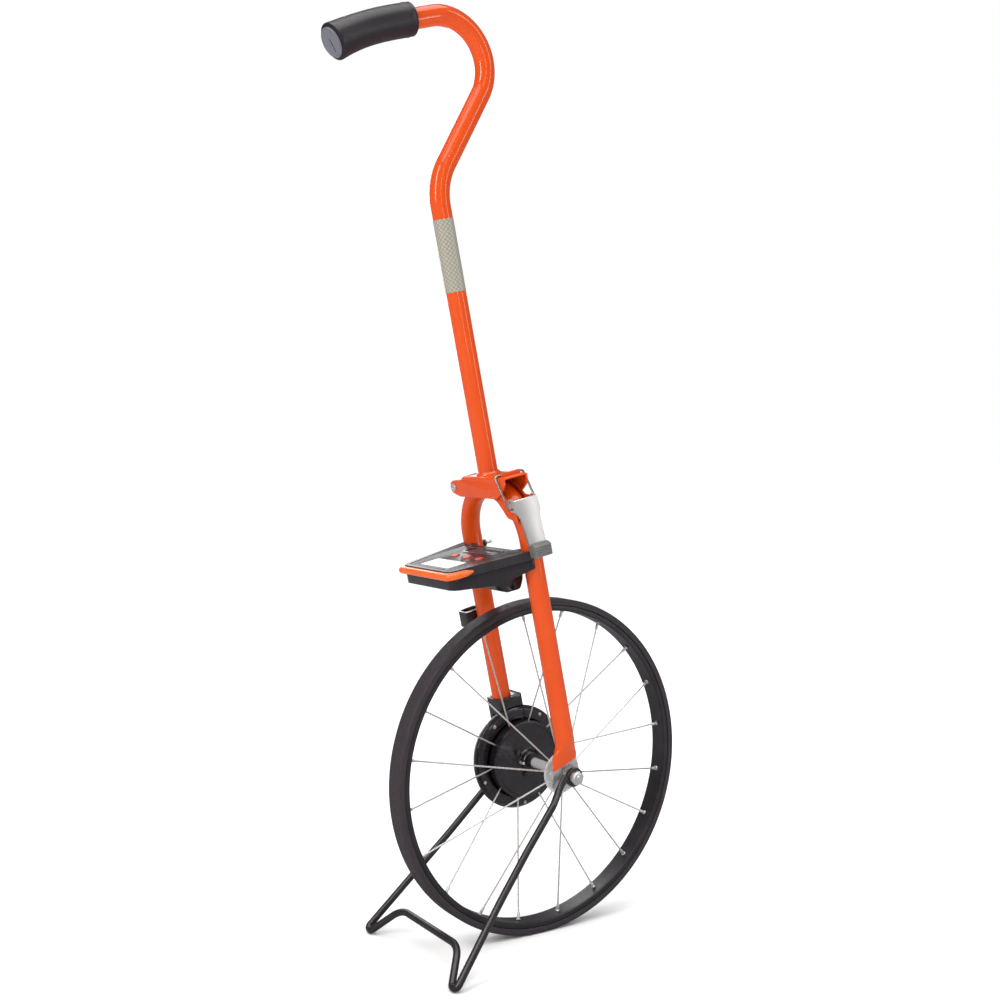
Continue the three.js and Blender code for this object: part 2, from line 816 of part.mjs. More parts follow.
function makeLatchGrip() {
  const ribs = [259, 261.6, 264.2, 266.8].flatMap((u) => [[-83, u], [-81.8, u + 1.3]]);
  const outline = [
    [-70.4, 269.7],
    [-70.4, 258.5],
    [-72, 257],
    [-80.5, 257],
    ...ribs,
    [-79, 271.5],
    [-74.6, 272.5],
    [-74.6, 269.7],
  ];
  return slab(outline, "x", -11, 11);
}

function makeBail() {
  const { y, u } = BAIL_PIVOT;
  const top = BAIL_TOP;
  const path = stations(
    [
      [-15.7, y, u],
      [-19, y, u, 2],
      [-19, top.y, top.u, 3],
      [19, top.y, top.u, 3],
      [19, y, u, 2],
      [15.7, y, u],
    ],
    30,
  );
  return bar(path, 1.25, 8);
}

add(legSpace, "latch_lever", makeLever(), "stainless");
add(legSpace, "latch_grip", makeLatchGrip(), "grey");
add(legSpace, "latch_bail", makeBail(), "stainless");

// ---- stand --------------------------------------------------------------------------------
// Corners as [along the leg, towards the rear, across, bend], in the stand's own plane.
function makeStand() {
  const down = radians(STAND_ANGLE);
  const along = vec(-Math.sin(down), 0, -Math.cos(down));
  const rear = vec(-Math.cos(down), 0, Math.sin(down));
  const place = ([a, o, y, bend]) => {
    const p = along.clone().multiplyScalar(a).addScaledVector(rear, o);
    return [p.x, y, p.z, bend];
  };
  const corners = [
    [6.5, 9.6, STAND_NEAR_Y],
    [20, 9, -66, 20],
    [42, 10, -75.2, 20],
    [100, 6.3, -77.4, 200],
    [160, 1, -80.5, 150],
    [TOE, 0, -99, 4.4],
    [TOE, 0, -89.8, 4.4],
    [218.5, 0, -61.5, 26],
    [218.5, 0, 60, 26],
    [TOE, 0, 85.8, 4.4],
    [TOE, 0, 95, 4.4],
    [115, -3, 75.2, 120],
    [26, -9.4, 73, 60],
    [6.5, -9.6, STAND_FAR_Y],
  ];
  const path = stations(corners.map(place), 22);
  const steps = path.slice(1).map(({ at }, i) => at.distanceTo(path[i].at));
  const length = steps.reduce((a, b) => a + b, 0);
  // The wire is thinner where it is flattened into its eyes.
  const radiusAt = (travelled) => {
    const fromEnd = Math.min(travelled, length - travelled);
    return Math.min(WIRE, EYE_HALF + Math.max(0, fromEnd - 12) * 0.12);
  };
  const wire = loft(rings(path, radiusAt, 10));
  const eye = (y) => washer(6.95, 10.8, y - EYE_HALF, y + EYE_HALF, 24);
  return join(wire, eye(STAND_NEAR_Y), eye(STAND_FAR_Y));
}

add(axleSpace, "stand", makeStand(), "satin");

export default part;
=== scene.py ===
# Measuring wheel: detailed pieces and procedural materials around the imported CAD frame.
import math

import bmesh
import bpy
from mathutils import Matrix, Quaternion, Vector


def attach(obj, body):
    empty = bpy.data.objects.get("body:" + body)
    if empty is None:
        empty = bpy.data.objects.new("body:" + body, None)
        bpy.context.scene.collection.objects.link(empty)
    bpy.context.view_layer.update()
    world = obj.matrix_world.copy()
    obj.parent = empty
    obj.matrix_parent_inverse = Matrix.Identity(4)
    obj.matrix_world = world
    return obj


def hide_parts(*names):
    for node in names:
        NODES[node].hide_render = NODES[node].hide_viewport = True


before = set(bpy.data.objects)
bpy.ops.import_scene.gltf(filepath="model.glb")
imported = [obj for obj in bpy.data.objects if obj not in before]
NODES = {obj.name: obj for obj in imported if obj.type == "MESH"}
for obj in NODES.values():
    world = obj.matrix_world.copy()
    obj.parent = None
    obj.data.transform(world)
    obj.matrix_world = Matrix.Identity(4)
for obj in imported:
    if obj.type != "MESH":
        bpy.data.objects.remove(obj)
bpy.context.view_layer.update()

# ---- frames and sizes: millimetres in, metres out --------------------------------------------
# AXLE has its origin on the axle. LEG leans with the fork: its points are (v, y, u), with u up the
# legs from the axle and v forward.
MM = 0.001
LEAN = math.radians(13.6)
AXLE_Z = 194.04
AXLE = Matrix.Translation((0, 0, AXLE_Z * MM)) @ Matrix.Scale(MM, 4)
LEG = Matrix.Translation((0, 0, AXLE_Z * MM)) @ Matrix.Rotation(-LEAN, 4, "Y") @ Matrix.Scale(MM, 4)

TUBE = 11.1
TUBE_BORE = 9.6
LEG_Y = 58.2
LEG_HOLE = 11.35
ARCH_U = 273
FOLD = (50.7, 332.6)
LEVER_PIN = (-55.5, 319)
BAIL_EYE = (-57.5, 311.5)
BAIL_BAR = (-40.5, 347.45)
BOLT_U = 258.2
KEY_ROW = (-30, -6, 18)
CASE_WALL = 2.6
CASE_SEAM = 254
CASE_TOP = 264
PILLAR = 13.9
BUMPER_ROUND = 3.95
GRIP_LENGTH = 100.0
SPOKES = 20
SPOKE_PHASE = 117.77
RIM_BED = 179.6
STAND_TOE = 255.6
STAND_EYES = {"near": -64.3, "far": 71.7}

# sockets of the Mix node when it mixes colours
MIX_A = 6
MIX_B = 7
MIX_RESULT = 2


# ---- materials ------------------------------------------------------------------------------
class Mat:
    """A principled material with its noise-driven colour, roughness and bump."""

    def __init__(self, name, color, roughness, metallic=0.0, **socket):
        self.m = bpy.data.materials.new(name)
        self.m.use_nodes = True
        self.n = self.m.node_tree.nodes
        self.l = self.m.node_tree.links
        self.p = self.n["Principled BSDF"]
        self.p.inputs["Base Color"].default_value = (*color, 1)
        self.p.inputs["Roughness"].default_value = roughness
        self.p.inputs["Metallic"].default_value = metallic
        for key, value in socket.items():
            self.p.inputs[key.replace("_", " ")].default_value = value
        self.color = color

    def node(self, kind, **props):
        made = self.n.new(kind)
        for key, value in props.items():
            setattr(made, key, value)
        return made

    def coords(self, scale=(1, 1, 1), source="Object", turn=(0, 0, 0)):
        texture = self.node("ShaderNodeTexCoord")
        mapping = self.node("ShaderNodeMapping")
        mapping.inputs["Scale"].default_value = scale
        mapping.inputs["Rotation"].default_value = turn
        self.l.new(texture.outputs[source], mapping.inputs["Vector"])
        return mapping.outputs["Vector"]

    def noise(self, scale, detail=4.0, stretch=(1, 1, 1), source="Object", rough=0.55):
        made = self.node("ShaderNodeTexNoise")
        made.inputs["Scale"].default_value = scale
        made.inputs["Detail"].default_value = detail
        made.inputs["Roughness"].default_value = rough
        self.l.new(self.coords(stretch, source), made.inputs["Vector"])
        return made.outputs["Fac"]

    def ramp(self, value, low, high, a=0.0, b=1.0):
        made = self.node("ShaderNodeMapRange")
        for key, number in zip(("From Min", "From Max", "To Min", "To Max"), (low, high, a, b)):
            made.inputs[key].default_value = number
        self.l.new(value, made.inputs["Value"])
        return made.outputs["Result"]

    def mix(self, factor, a, b):
        made = self.node("ShaderNodeMix", data_type="RGBA")
        self.l.new(factor, made.inputs["Factor"])
        for index, value in ((MIX_A, a), (MIX_B, b)):
            if isinstance(value, tuple):
                made.inputs[index].default_value = (*value, 1)
            else:
                self.l.new(value, made.inputs[index])
        return made.outputs[MIX_RESULT]

    def tint(self, value, other):
        self.l.new(self.mix(value, self.color, other), self.p.inputs["Base Color"])
        return self

    def rough(self, value, low, high):
        self.l.new(self.ramp(value, 0.3, 0.7, low, high), self.p.inputs["Roughness"])
        return self

    def bump(self, value, strength, distance=0.0004):
        made = self.node("ShaderNodeBump")
        made.inputs["Strength"].default_value = strength
        made.inputs["Distance"].default_value = distance
        self.l.new(value, made.inputs["Height"])
        if self.p.inputs["Normal"].is_linked:
            self.l.new(self.p.inputs["Normal"].links[0].from_socket, made.inputs["Normal"])
        self.l.new(made.outputs["Normal"], self.p.inputs["Normal"])
        return self


def surface(name, color, roughness, metallic=0.0, patches=None, gloss=None, grain=None, **sockets):
    """A material with slow patches of a second colour, uneven gloss and a fine grain.

    patches is (amount, colour), gloss is (scale, detail, lowest, highest), and grain is
    (scale, detail, strength, depth in metres).
    """
    mat = Mat(name, color, roughness, metallic, **sockets)
    if patches:
        amount, other = patches
        mat.tint(mat.ramp(mat.noise(38, 5), 0.35, 0.75, 0, amount), other)
    if gloss:
        scale, detail, lowest, highest = gloss
        mat.rough(mat.noise(scale, detail), lowest, highest)
    if grain:
        scale, detail, strength, depth = grain
        mat.bump(mat.noise(scale, detail), strength, depth)
    return mat


def tyre_rubber():
    """Rubber with fine streaks that run round the tread."""
    mat = Mat("tyre_rubber", (0.026, 0.021, 0.026), 0.6, Specular_IOR_Level=0.25)
    streaks = mat.ramp(mat.noise(1, 6, (60, 1400, 60), "UV", 0.7), 0.35, 0.75, 0, 0.9)
    mat.tint(streaks, (0.055, 0.046, 0.052))
    mat.rough(mat.noise(160, 5), 0.45, 0.68)
    mat.bump(mat.noise(1, 5, (240, 2600, 60), "UV", 0.6), 0.28, 0.0004)
    return mat.bump(mat.noise(1300, 3), 0.15, 0.0003)


def brushed_steel():
    """Pressed stainless steel with a faint brushing."""
    mat = surface("stainless", (0.76, 0.75, 0.73), 0.36, 0.85, patches=(0.5, (0.68, 0.67, 0.655)))
    mat.rough(mat.noise(60, 3, (14, 14, 1)), 0.34, 0.42)
    return mat.bump(mat.noise(260, 3, (9, 9, 0.6)), 0.006, 0.00005)


def reflective_tape():
    """Grey tape under a net of fine darker lines at 45 degrees to the pole."""
    mat = Mat("reflective_tape", (0.40, 0.385, 0.315), 0.4, 0.1, Coat_Weight=0.25,
              Coat_Roughness=0.15)
    cells = mat.node("ShaderNodeTexVoronoi", feature="DISTANCE_TO_EDGE")
    cells.inputs["Scale"].default_value = 1
    cells.inputs["Randomness"].default_value = 0.12
    mat.l.new(mat.coords((20, 274, 1), "UV", (0, 0, math.radians(45))), cells.inputs["Vector"])
    edge = mat.ramp(cells.outputs["Distance"], 0.02, 0.13)
    net = mat.mix(edge, (0.17, 0.16, 0.125), (0.40, 0.38, 0.315))
    mat.l.new(net, mat.p.inputs["Base Color"])
    mat.rough(mat.noise(800, 2), 0.26, 0.42)
    return mat.bump(edge, 0.35, 0.0002)


def make_materials():
    return {
        # painted and coloured
        "paint": surface("orange_paint", (0.66, 0.070, 0.002), 0.34, patches=(0.5, (0.62, 0.052, 0.002)),
                         gloss=(420, 3, 0.26, 0.36), grain=(900, 2, 0.05, 0.00015),
                         Coat_Weight=0.9, Coat_Roughness=0.05, Specular_IOR_Level=0.15),
        "bumper": surface("orange_rubber", (0.74, 0.115, 0.004), 0.34,
                          patches=(0.6, (0.70, 0.092, 0.004)), gloss=(300, 3, 0.28, 0.42),
                          grain=(1500, 2, 0.08, 0.0002), Coat_Weight=0.4, Coat_Roughness=0.15),
        "key": surface("key_rubber", (0.62, 0.05, 0.018), 0.4, patches=(0.5, (0.5, 0.04, 0.015)),
                       grain=(1800, 3, 0.15, 0.0002)),
        "tape": reflective_tape(),
        # black and grey
        "tyre": tyre_rubber(),
        "rim": surface("rim_black", (0.012, 0.010, 0.012), 0.3, patches=(0.7, (0.026, 0.022, 0.026)),
                       gloss=(260, 4, 0.28, 0.42), grain=(1100, 3, 0.08, 0.0002),
                       Specular_IOR_Level=0.5),
        "black": surface("black_plastic", (0.010, 0.008, 0.010), 0.26,
                         patches=(0.8, (0.016, 0.013, 0.016)), gloss=(500, 4, 0.18, 0.3),
                         grain=(2600, 3, 0.08, 0.0001), Specular_IOR_Level=0.35,
                         Coat_Weight=0.7, Coat_Roughness=0.13),
        "face": surface("face_plastic", (0.026, 0.023, 0.026), 0.26,
                        patches=(0.6, (0.045, 0.040, 0.044)), gloss=(700, 3, 0.24, 0.36),
                        grain=(1800, 2, 0.03, 0.0001), Specular_IOR_Level=0.2),
        "wire": surface("black_wire", (0.010, 0.008, 0.010), 0.26, patches=(0.7, (0.022, 0.019, 0.022)),
                        gloss=(600, 4, 0.24, 0.4), grain=(1500, 3, 0.12, 0.0002),
                        Specular_IOR_Level=0.7),
        "grip": surface("grip_rubber", (0.009, 0.005, 0.008), 0.34, patches=(0.8, (0.017, 0.011, 0.016)),
                        gloss=(420, 4, 0.32, 0.48), grain=(2400, 4, 0.22, 0.0003),
                        Specular_IOR_Level=0.6),
        "cap": surface("cap_plastic", (0.15, 0.155, 0.19), 0.42, patches=(0.8, (0.11, 0.115, 0.145)),
                       gloss=(500, 3, 0.36, 0.52), grain=(2200, 3, 0.15, 0.0002)),
        "grey": surface("grey_plastic", (0.15, 0.145, 0.14), 0.5, patches=(0.8, (0.1, 0.098, 0.096)),
                        gloss=(600, 3, 0.42, 0.6), grain=(1900, 3, 0.2, 0.0003)),
        # metals
        "zinc": surface("zinc_steel", (0.66, 0.66, 0.65), 0.3, 0.7, patches=(0.7, (0.52, 0.52, 0.51)),
                        gloss=(300, 5, 0.2, 0.4), grain=(900, 4, 0.08, 0.0002)),
        "chrome": surface("chrome", (0.90, 0.90, 0.92), 0.2, 0.6, patches=(0.5, (0.82, 0.82, 0.84)),
                          gloss=(200, 4, 0.14, 0.26), grain=(700, 2, 0.02, 0.0001)),
        "bail": surface("bail_steel", (0.34, 0.32, 0.30), 0.22, 0.85, patches=(0.6, (0.24, 0.225, 0.21)),
                        gloss=(900, 3, 0.16, 0.3), grain=(1800, 2, 0.05, 0.0001)),
        "spoke": surface("spoke_steel", (0.66, 0.65, 0.63), 0.3, 0.6, patches=(0.6, (0.54, 0.53, 0.51)),
                         gloss=(900, 3, 0.2, 0.36), grain=(1800, 2, 0.05, 0.0001)),
        "steel": brushed_steel(),
        # the counter's face
        "window": surface("window", (0.42, 0.44, 0.46), 0.05, gloss=(400, 2, 0.03, 0.07),
                          Transmission_Weight=0.9, IOR=1.12),
        "lcd": surface("lcd", (0.50, 0.53, 0.47), 0.25, patches=(0.5, (0.42, 0.46, 0.4)),
                       Coat_Weight=0.6),
        "label": surface("label_white", (0.80, 0.80, 0.78), 0.5, patches=(0.4, (0.74, 0.74, 0.72)),
                         grain=(900, 2, 0.05, 0.0001), Specular_IOR_Level=0.2),
        # a thin lighter grey line round the counter's top face
        "grey_line": surface("face_grey_line", (0.24, 0.23, 0.235), 0.4, patches=(0.5, (0.18, 0.17, 0.175)),
                         Specular_IOR_Level=0.2),
        # hidden pieces
        "board": surface("circuit_board", (0.016, 0.12, 0.05), 0.4, patches=(0.8, (0.01, 0.07, 0.03))),
        "battery": surface("battery_wrap", (0.05, 0.06, 0.08), 0.3, patches=(0.8, (0.03, 0.035, 0.05)),
                           Coat_Weight=0.5),
        "magnet": surface("magnet", (0.05, 0.05, 0.052), 0.5, 0.3, patches=(0.8, (0.08, 0.08, 0.082)),
                          grain=(1400, 4, 0.2, 0.0003)),
    }


M = make_materials()


# ---- shapes ---------------------------------------------------------------------------------
def arc_corners(points, radius, steps=4, closed=True):
    """A 2D line with its corners rounded; radius is one number or one per corner."""
    out = []
    count = len(points)
    for i, p in enumerate(points):
        r = radius[i] if isinstance(radius, (list, tuple)) else radius
        if (not closed and i in (0, count - 1)) or r <= 0:
            out.append(tuple(p))
            continue
        here = Vector(p)
        back = Vector(points[i - 1]) - here
        ahead = Vector(points[(i + 1) % count]) - here
        reach = min(r, back.length * 0.48, ahead.length * 0.48)
        a = here + back.normalized() * reach
        b = here + ahead.normalized() * reach
        for k in range(steps + 1):
            t = k / steps
            out.append(tuple(a * (1 - t) ** 2 + here * (2 * t * (1 - t)) + b * t**2))
    return out


def lathe(profile, count=96, start=0.0):
    """Turned about Y from (radius, y); closed on itself, or from axis to axis."""
    solid = profile[0][0] <= 1e-6
    verts, faces = [], []
    lengths = [0.0]
    for a, b in zip(profile, profile[1:]):
        lengths.append(lengths[-1] + math.hypot(a[0] - b[0], a[1] - b[1]))
    rows = len(profile)
    for k in range(count):
        angle = start + 2 * math.pi * k / count
        s, c = math.sin(angle), math.cos(angle)
        for r, y in profile:
            verts.append((r * s, y, r * c))
    spans = rows - 1 if solid else rows
    for k in range(count):
        for j in range(spans):
            i = (j + 1) % rows
            n = (k + 1) % count
            face = [k * rows + j, n * rows + j, n * rows + i, k * rows + i]
            u0, u1 = k / count, (k + 1) / count
            v0 = lengths[j] * MM
            v1 = (lengths[i] if i else lengths[-1] + 1) * MM
            faces.append((face, [(u0, v0), (u1, v0), (u1, v1), (u0, v1)]))
    return verts, faces


def stations(corners, degrees=6, straight=None):
    """Points and directions along a polyline of (x, y, z[, bend]) with rounded corners."""
    points = [Vector(c[:3]) for c in corners]
    out = [(points[0], (points[1] - points[0]).normalized())]
    for i in range(1, len(points) - 1):
        back = (points[i - 1] - points[i]).normalized()
        ahead = (points[i + 1] - points[i]).normalized()
        turn = math.pi - back.angle(ahead)
        radius = corners[i][3]
        centre = points[i] + (back + ahead).normalized() * (radius / math.cos(turn / 2))
        start = points[i] + back * (radius * math.tan(turn / 2)) - centre
        axis = (-back).cross(ahead).normalized()
        steps = max(3, math.ceil(turn / math.radians(degrees)))
        for k in range(steps + 1):
            spin = Quaternion(axis, turn * k / steps)
            out.append((spin @ start + centre, spin @ (-back)))
    out.append((points[-1], (points[-1] - points[-2]).normalized()))
    if straight:
        full = [out[0]]
        for p, d in out[1:]:
            gap = (p - full[-1][0]).length
            parts = math.ceil(gap / straight)
            q = full[-1][0]
            full += [(q.lerp(p, k / parts), (p - q).normalized()) for k in range(1, parts)]
            full.append((p, d))
        out = full
    return out


def rings(path, radius, sides):
    """Rings round a path. radius(travelled, angle) or a number."""
    side = Vector((0, 1, 0)) if abs(path[0][1].y) < 0.9 else Vector((1, 0, 0))
    travelled = 0.0
    rows = []
    for i, (at, along) in enumerate(path):
        if i:
            travelled += (at - path[i - 1][0]).length
        side = (side - along * side.dot(along)).normalized()
        other = along.cross(side)
        row = []
        for k in range(sides):
            angle = 2 * math.pi * k / sides
            r = radius(travelled, angle) if callable(radius) else radius
            row.append(at + side * (r * math.cos(angle)) + other * (r * math.sin(angle)))
        rows.append((row, travelled))
    return rows


def skin(rows, looped=False):
    """A closed skin over rings: capped, or back to the first ring."""
    sides = len(rows[0][0])
    verts = [tuple(p) for row, _ in rows for p in row]
    faces = []
    spans = len(rows) if looped else len(rows) - 1
    for r in range(spans):
        n = (r + 1) % len(rows)
        for k in range(sides):
            j = (k + 1) % sides
            u0, u1 = k / sides, (k + 1) / sides
            v0, v1 = rows[r][1] * MM, rows[n][1] * MM
            face = [r * sides + k, n * sides + k, n * sides + j, r * sides + j]
            faces.append((face, [(u0, v0), (u0, v1), (u1, v1), (u1, v0)]))
    if not looped:
        tail = (len(rows) - 1) * sides
        faces.append((list(range(sides)), None))
        faces.append(([tail + k for k in reversed(range(sides))], None))
    return verts, faces


def pipe(path, radius, bore, sides=48):
    """A tube along a path, open at both ends."""
    outer = rings(path, radius, sides)
    inner = rings(path, bore, sides)
    return skin(outer + inner[::-1], True)


def slab(outline, axis, low, high):
    """An outline pushed along an axis: (y, z) for x, (x, z) for y, (x, y) for z."""
    def place(a, b, h):
        return {"x": (h, a, b), "y": (a, h, b), "z": (a, b, h)}[axis]

    count = len(outline)
    verts = [place(a, b, h) for h in (low, high) for a, b in outline]
    faces = [(list(range(count)), None), ([count + k for k in reversed(range(count))], None)]
    for k in range(count):
        n = (k + 1) % count
        faces.append(([k, k + count, n + count, n], None))
    return verts, faces


def box(x0, x1, y0, y1, z0, z1):
    return slab([(x0, y0), (x1, y0), (x1, y1), (x0, y1)], "z", z0, z1)


def rod(a, b, radius, sides=32):
    a, b = Vector(a), Vector(b)
    return skin(rings([(a, (b - a).normalized()), (b, (b - a).normalized())], radius, sides))


def turned_at(profile, count, centre, axis):
    """A turned shape whose Y axis is laid along an axis at a centre."""
    verts, faces = lathe(profile, count)
    turn = Vector((0, 1, 0)).rotation_difference(Vector(axis))
    return [tuple(turn @ Vector(v) + Vector(centre)) for v in verts], faces


def merged(*shapes):
    verts, faces = [], []
    for v, f in shapes:
        base = len(verts)
        verts += list(v)
        faces += [([i + base for i in face], uv) for face, uv in f]
    return verts, faces


def raw(shape, space):
    """A bmesh of a shape, in metres, facing outwards."""
    verts, faces = shape
    bm = bmesh.new()
    made = [bm.verts.new(space @ Vector(v)) for v in verts]
    layer = bm.loops.layers.uv.new("UVMap")
    for face, uv in faces:
        if len(set(face)) < 3:
            continue
        try:
            f = bm.faces.new([made[i] for i in face])
        except ValueError:
            continue
        if uv:
            for loop, pair in zip(f.loops, uv):
                loop[layer].uv = pair
    bmesh.ops.remove_doubles(bm, verts=bm.verts, dist=2e-7)
    bmesh.ops.dissolve_degenerate(bm, edges=bm.edges, dist=1e-8)
    bmesh.ops.recalc_face_normals(bm, faces=bm.faces)
    return bm


def put(bm, name):
    mesh = bpy.data.meshes.new(name)
    bm.to_mesh(mesh)
    bm.free()
    ob = bpy.data.objects.new(name, mesh)
    bpy.context.scene.collection.objects.link(ob)
    return ob


def smooth(mesh, degrees=32):
    """Smooth shading with sharp edges kept."""
    bm = bmesh.new()
    bm.from_mesh(mesh)
    limit = math.radians(degrees)
    for face in bm.faces:
        face.smooth = True
    for edge in bm.edges:
        edge.smooth = len(edge.link_faces) == 2 and edge.calc_face_angle(0) < limit
    bm.to_mesh(mesh)
    bm.free()


def in_leg(shape, name="tool"):
    return put(raw(shape, LEG), name)


def add_boolean(ob, kind, tool):
    mod = ob.modifiers.new("boolean", "BOOLEAN")
    mod.operation = kind
    mod.object = tool
    mod.solver = "EXACT"


def add_bevel(ob, width, degrees):
    mod = ob.modifiers.new("bevel", "BEVEL")
    mod.width = width * MM
    mod.segments = 3
    mod.limit_method = "ANGLE"
    mod.angle_limit = math.radians(degrees)


def bake(ob):
    """The modifiers' result becomes the object's mesh."""
    view = bpy.context.evaluated_depsgraph_get()
    ready = bpy.data.meshes.new_from_object(ob.evaluated_get(view))
    ob.modifiers.clear()
    ob.data = ready


def apply_tools(ob, tools, bevel=0.0):
    """Booleans in order, each tool used up, then rounded edges."""
    for kind, tool in tools:
        add_boolean(ob, kind, tool)
        bake(ob)
        bpy.data.objects.remove(tool)
    if bevel:
        add_bevel(ob, bevel, 30)
        bake(ob)


def settle(ob, material, body, replaces=(), angle=32):
    """Shading, material and body of a finished piece."""
    smooth(ob.data, angle)
    ob.data.materials.clear()
    ob.data.materials.append(M[material].m)
    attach(ob, body)
    if replaces:
        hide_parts(*replaces)


def build(name, shape, space, material, body, replaces=(), cuts=(), bevel=0.0, joins=(),
          angle=32):
    """One visible piece: a shape with its joins and cuts made and its edges rounded."""
    ob = put(raw(shape, space), name)
    tools = [("UNION", put(raw(other, space), "helper")) for other in joins]
    tools += [("DIFFERENCE", put(raw(other, space), "helper")) for other in cuts]
    for kind, tool in tools:
        add_boolean(ob, kind, tool)
    if bevel:
        add_bevel(ob, bevel, 28)
    if ob.modifiers:
        bake(ob)
    for _, tool in tools:
        bpy.data.objects.remove(tool)
    settle(ob, material, body, replaces, angle)


# ---- wheel ----------------------------------------------------------------------------------
def wheel():
    """Tyre, rim, spokes and their nipples."""
    tyre = [(183.2, -8.5), (183.2, 8.5), (186.4, 8.5), (186.5, 12.0), (187.6, 12.35),
            (192.2, 12.35), (194.04, 10.6)]
    crown = [(194.04, 10.6 - 21.2 * k / 8) for k in range(1, 8)]
    low = [(r, -y) for r, y in reversed(tyre[2:])]
    bend = [0, 0, 0, 0.2, 0.8, 1.6, 0.9] + [0] * 7 + [0.9, 1.6, 0.8, 0.2, 0]
    profile = arc_corners(tyre + crown + low, bend, 4)
    build("tyre_solid", lathe(profile, 288), AXLE, "tyre", "wheel", ["tyre"])
    half = [(181.9, 0), (182.3, 8.9), (185.9, 9.4), (185.9, 11.2), (180.4, 11.35), (179.75, 10.2),
            (179.9, 4)]
    rim = half + [(179.9, -4)] + [(r, -y) for r, y in reversed(half[1:6])]
    build("rim_channel", lathe(arc_corners(rim, 0.6, 3), 288), AXLE, "rim", "wheel", ["rim"])
    rods, caps = [], []
    for i in range(1, SPOKES + 1):
        near = i % 2 == 1
        angle = math.radians(SPOKE_PHASE) + 2 * math.pi * i / SPOKES
        out = Vector((math.cos(angle), 0, math.sin(angle)))
        a = out * (20.8 if near else 45.2) + Vector((0, -38.4 if near else 34.5, 0))
        b = out * RIM_BED
        along = (b - a).normalized()
        rods.append(skin(rings([(a, along), (b - along * 3, along)], 0.95, 12)))
        profile = [(0, -8.6), (1.3, -8.4), (1.75, -7.4), (1.75, -1.6), (2.6, -0.9), (2.4, 0),
                   (0, 0)]
        caps.append(turned_at(profile, 16, b, along))
        if near:
            head = [(0, -1.3), (1.2, -1.2), (1.9, -0.4), (1.9, 0), (0, 0)]
            rods.append(turned_at(head, 14, out * 20.8 + Vector((0, -42.3, 0)), (0, 1, 0)))
    build("spokes", merged(*rods), AXLE, "spoke", "wheel",
          [f"spoke_{i:02d}" for i in range(1, SPOKES + 1)])
    build("spoke_nipples", merged(*caps), AXLE, "spoke", "wheel")


def hub():
    """Steel hub shell and the black drum at its far side, with the marks on the drum's face."""
    shell = [(11.4, -49.5), (12.8, -49.1), (12.8, -42.6), (23.6, -42.3), (24, -41.6), (23.8, -40),
             (9, -39.6), (6.2, -38), (5.6, -35), (5.6, 26), (4.5, 26), (4.5, -41.6), (11.4, -41.6)]
    build("hub_shell_chrome", lathe(arc_corners(shell, 0.6, 3), 96), AXLE, "chrome", "wheel",
          ["hub_shell"])
    drum = [(5.8, 10.6), (6.9, 10.8), (7.6, 20.4), (10.6, 21), (10.8, 24.2), (13, 26.4), (26, 27.2),
            (41.2, 27), (41.8, 25.4), (45.1, 25.6), (45.45, 27), (45.45, 38.9), (43, 38.9),
            (43, 29.6), (5.8, 29.4)]
    build("hub_drum_cover", lathe(arc_corners(drum, 0.7, 4), 120), AXLE, "black", "wheel",
          ["hub_drum"])
    bumps = []
    for angle in (25, 145, 265):
        at = (17 * math.cos(math.radians(angle)), 24.6, 17 * math.sin(math.radians(angle)))
        bumps.append(turned_at(arc_corners([(0, -1.6), (3.4, -1.6), (3.8, 3), (0, 3)],
                                           [0, 1.2, 0, 0], 4), 24, at, (0, 1, 0)))
    build("drum_bumps", merged(*bumps), AXLE, "black", "wheel")
    collar = arc_corners([(7.4, 17), (10.2, 17), (11.4, 19), (11.4, 22), (7.6, 22)], 0.7, 3)
    build("drum_collar", lathe(collar, 72), AXLE, "black", "wheel")
    pin = turned_at([(0, -4.6), (1.2, -4.5), (1.7, -3.9), (1.7, 3.5), (0, 3.5)], 20,
                    (-11.6, 20.5, -1.5), (0, 1, 0))
    build("drum_pin", pin, AXLE, "zinc", "wheel")


def housing():
    """Sensor housing at the end of the far leg: shell, leg socket, ring and its screws."""
    shell = [(4.2, 50.2), (10, 50.2), (11, 62.8), (45.9, 62.8), (54.4, 51.9), (58.2, 47.4),
             (60.9, 47.4), (57.9, 53.5), (51, 64.2), (49.2, 66), (30, 66), (28.5, 65.2), (16, 65.2),
             (14.5, 66), (4.2, 66)]
    block_plan = arc_corners([(-13, 41.6), (19, 41.6), (19, 72.5), (-13, 72.5)], 4, 5)
    block = slab(block_plan, "z", 47, 73.9)
    trims = [rod((0, 40, 0), (0, 47.35, 0), 61.8, 96), rod((0, 40, 0), (0, 62.9, 0), 56, 96),
             rod((0, LEG_Y, 62.5), (0, LEG_Y, 90), LEG_HOLE, 48)]
    build("sensor_housing_shell", lathe(arc_corners(shell, 0.9, 4), 120), LEG, "black", "frame",
          ["sensor_housing"])
    build("leg_socket", block, LEG, "black", "frame", cuts=trims, bevel=0.9)
    ring = [(47, 39.4), (49, 39.3), (57.6, 39.3), (61.3, 43.8), (61.4, 46.9), (47, 46.9)]
    build("housing_ring_cover", lathe(arc_corners(ring, 0.7, 4), 120), AXLE, "black", "frame",
          ["housing_ring"])
    screws = []
    for k in range(5):
        angle = math.radians(134 + 72 * k)
        at = Vector((55.2 * math.cos(angle), 39.3, 55.2 * math.sin(angle)))
        screws.append(turned_at([(0, -1.1), (1.2, -1.0), (2.1, -0.3), (2.1, 1.0), (0, 1.0)], 20, at,
                                (0, 1, 0)))
        screws.append(turned_at([(0, -1.25), (0.8, -1.25), (0.8, -0.9), (0, -0.9)], 6, at,
                                (0, 1, 0)))
    build("ring_screws", merged(*screws), AXLE, "zinc", "frame")


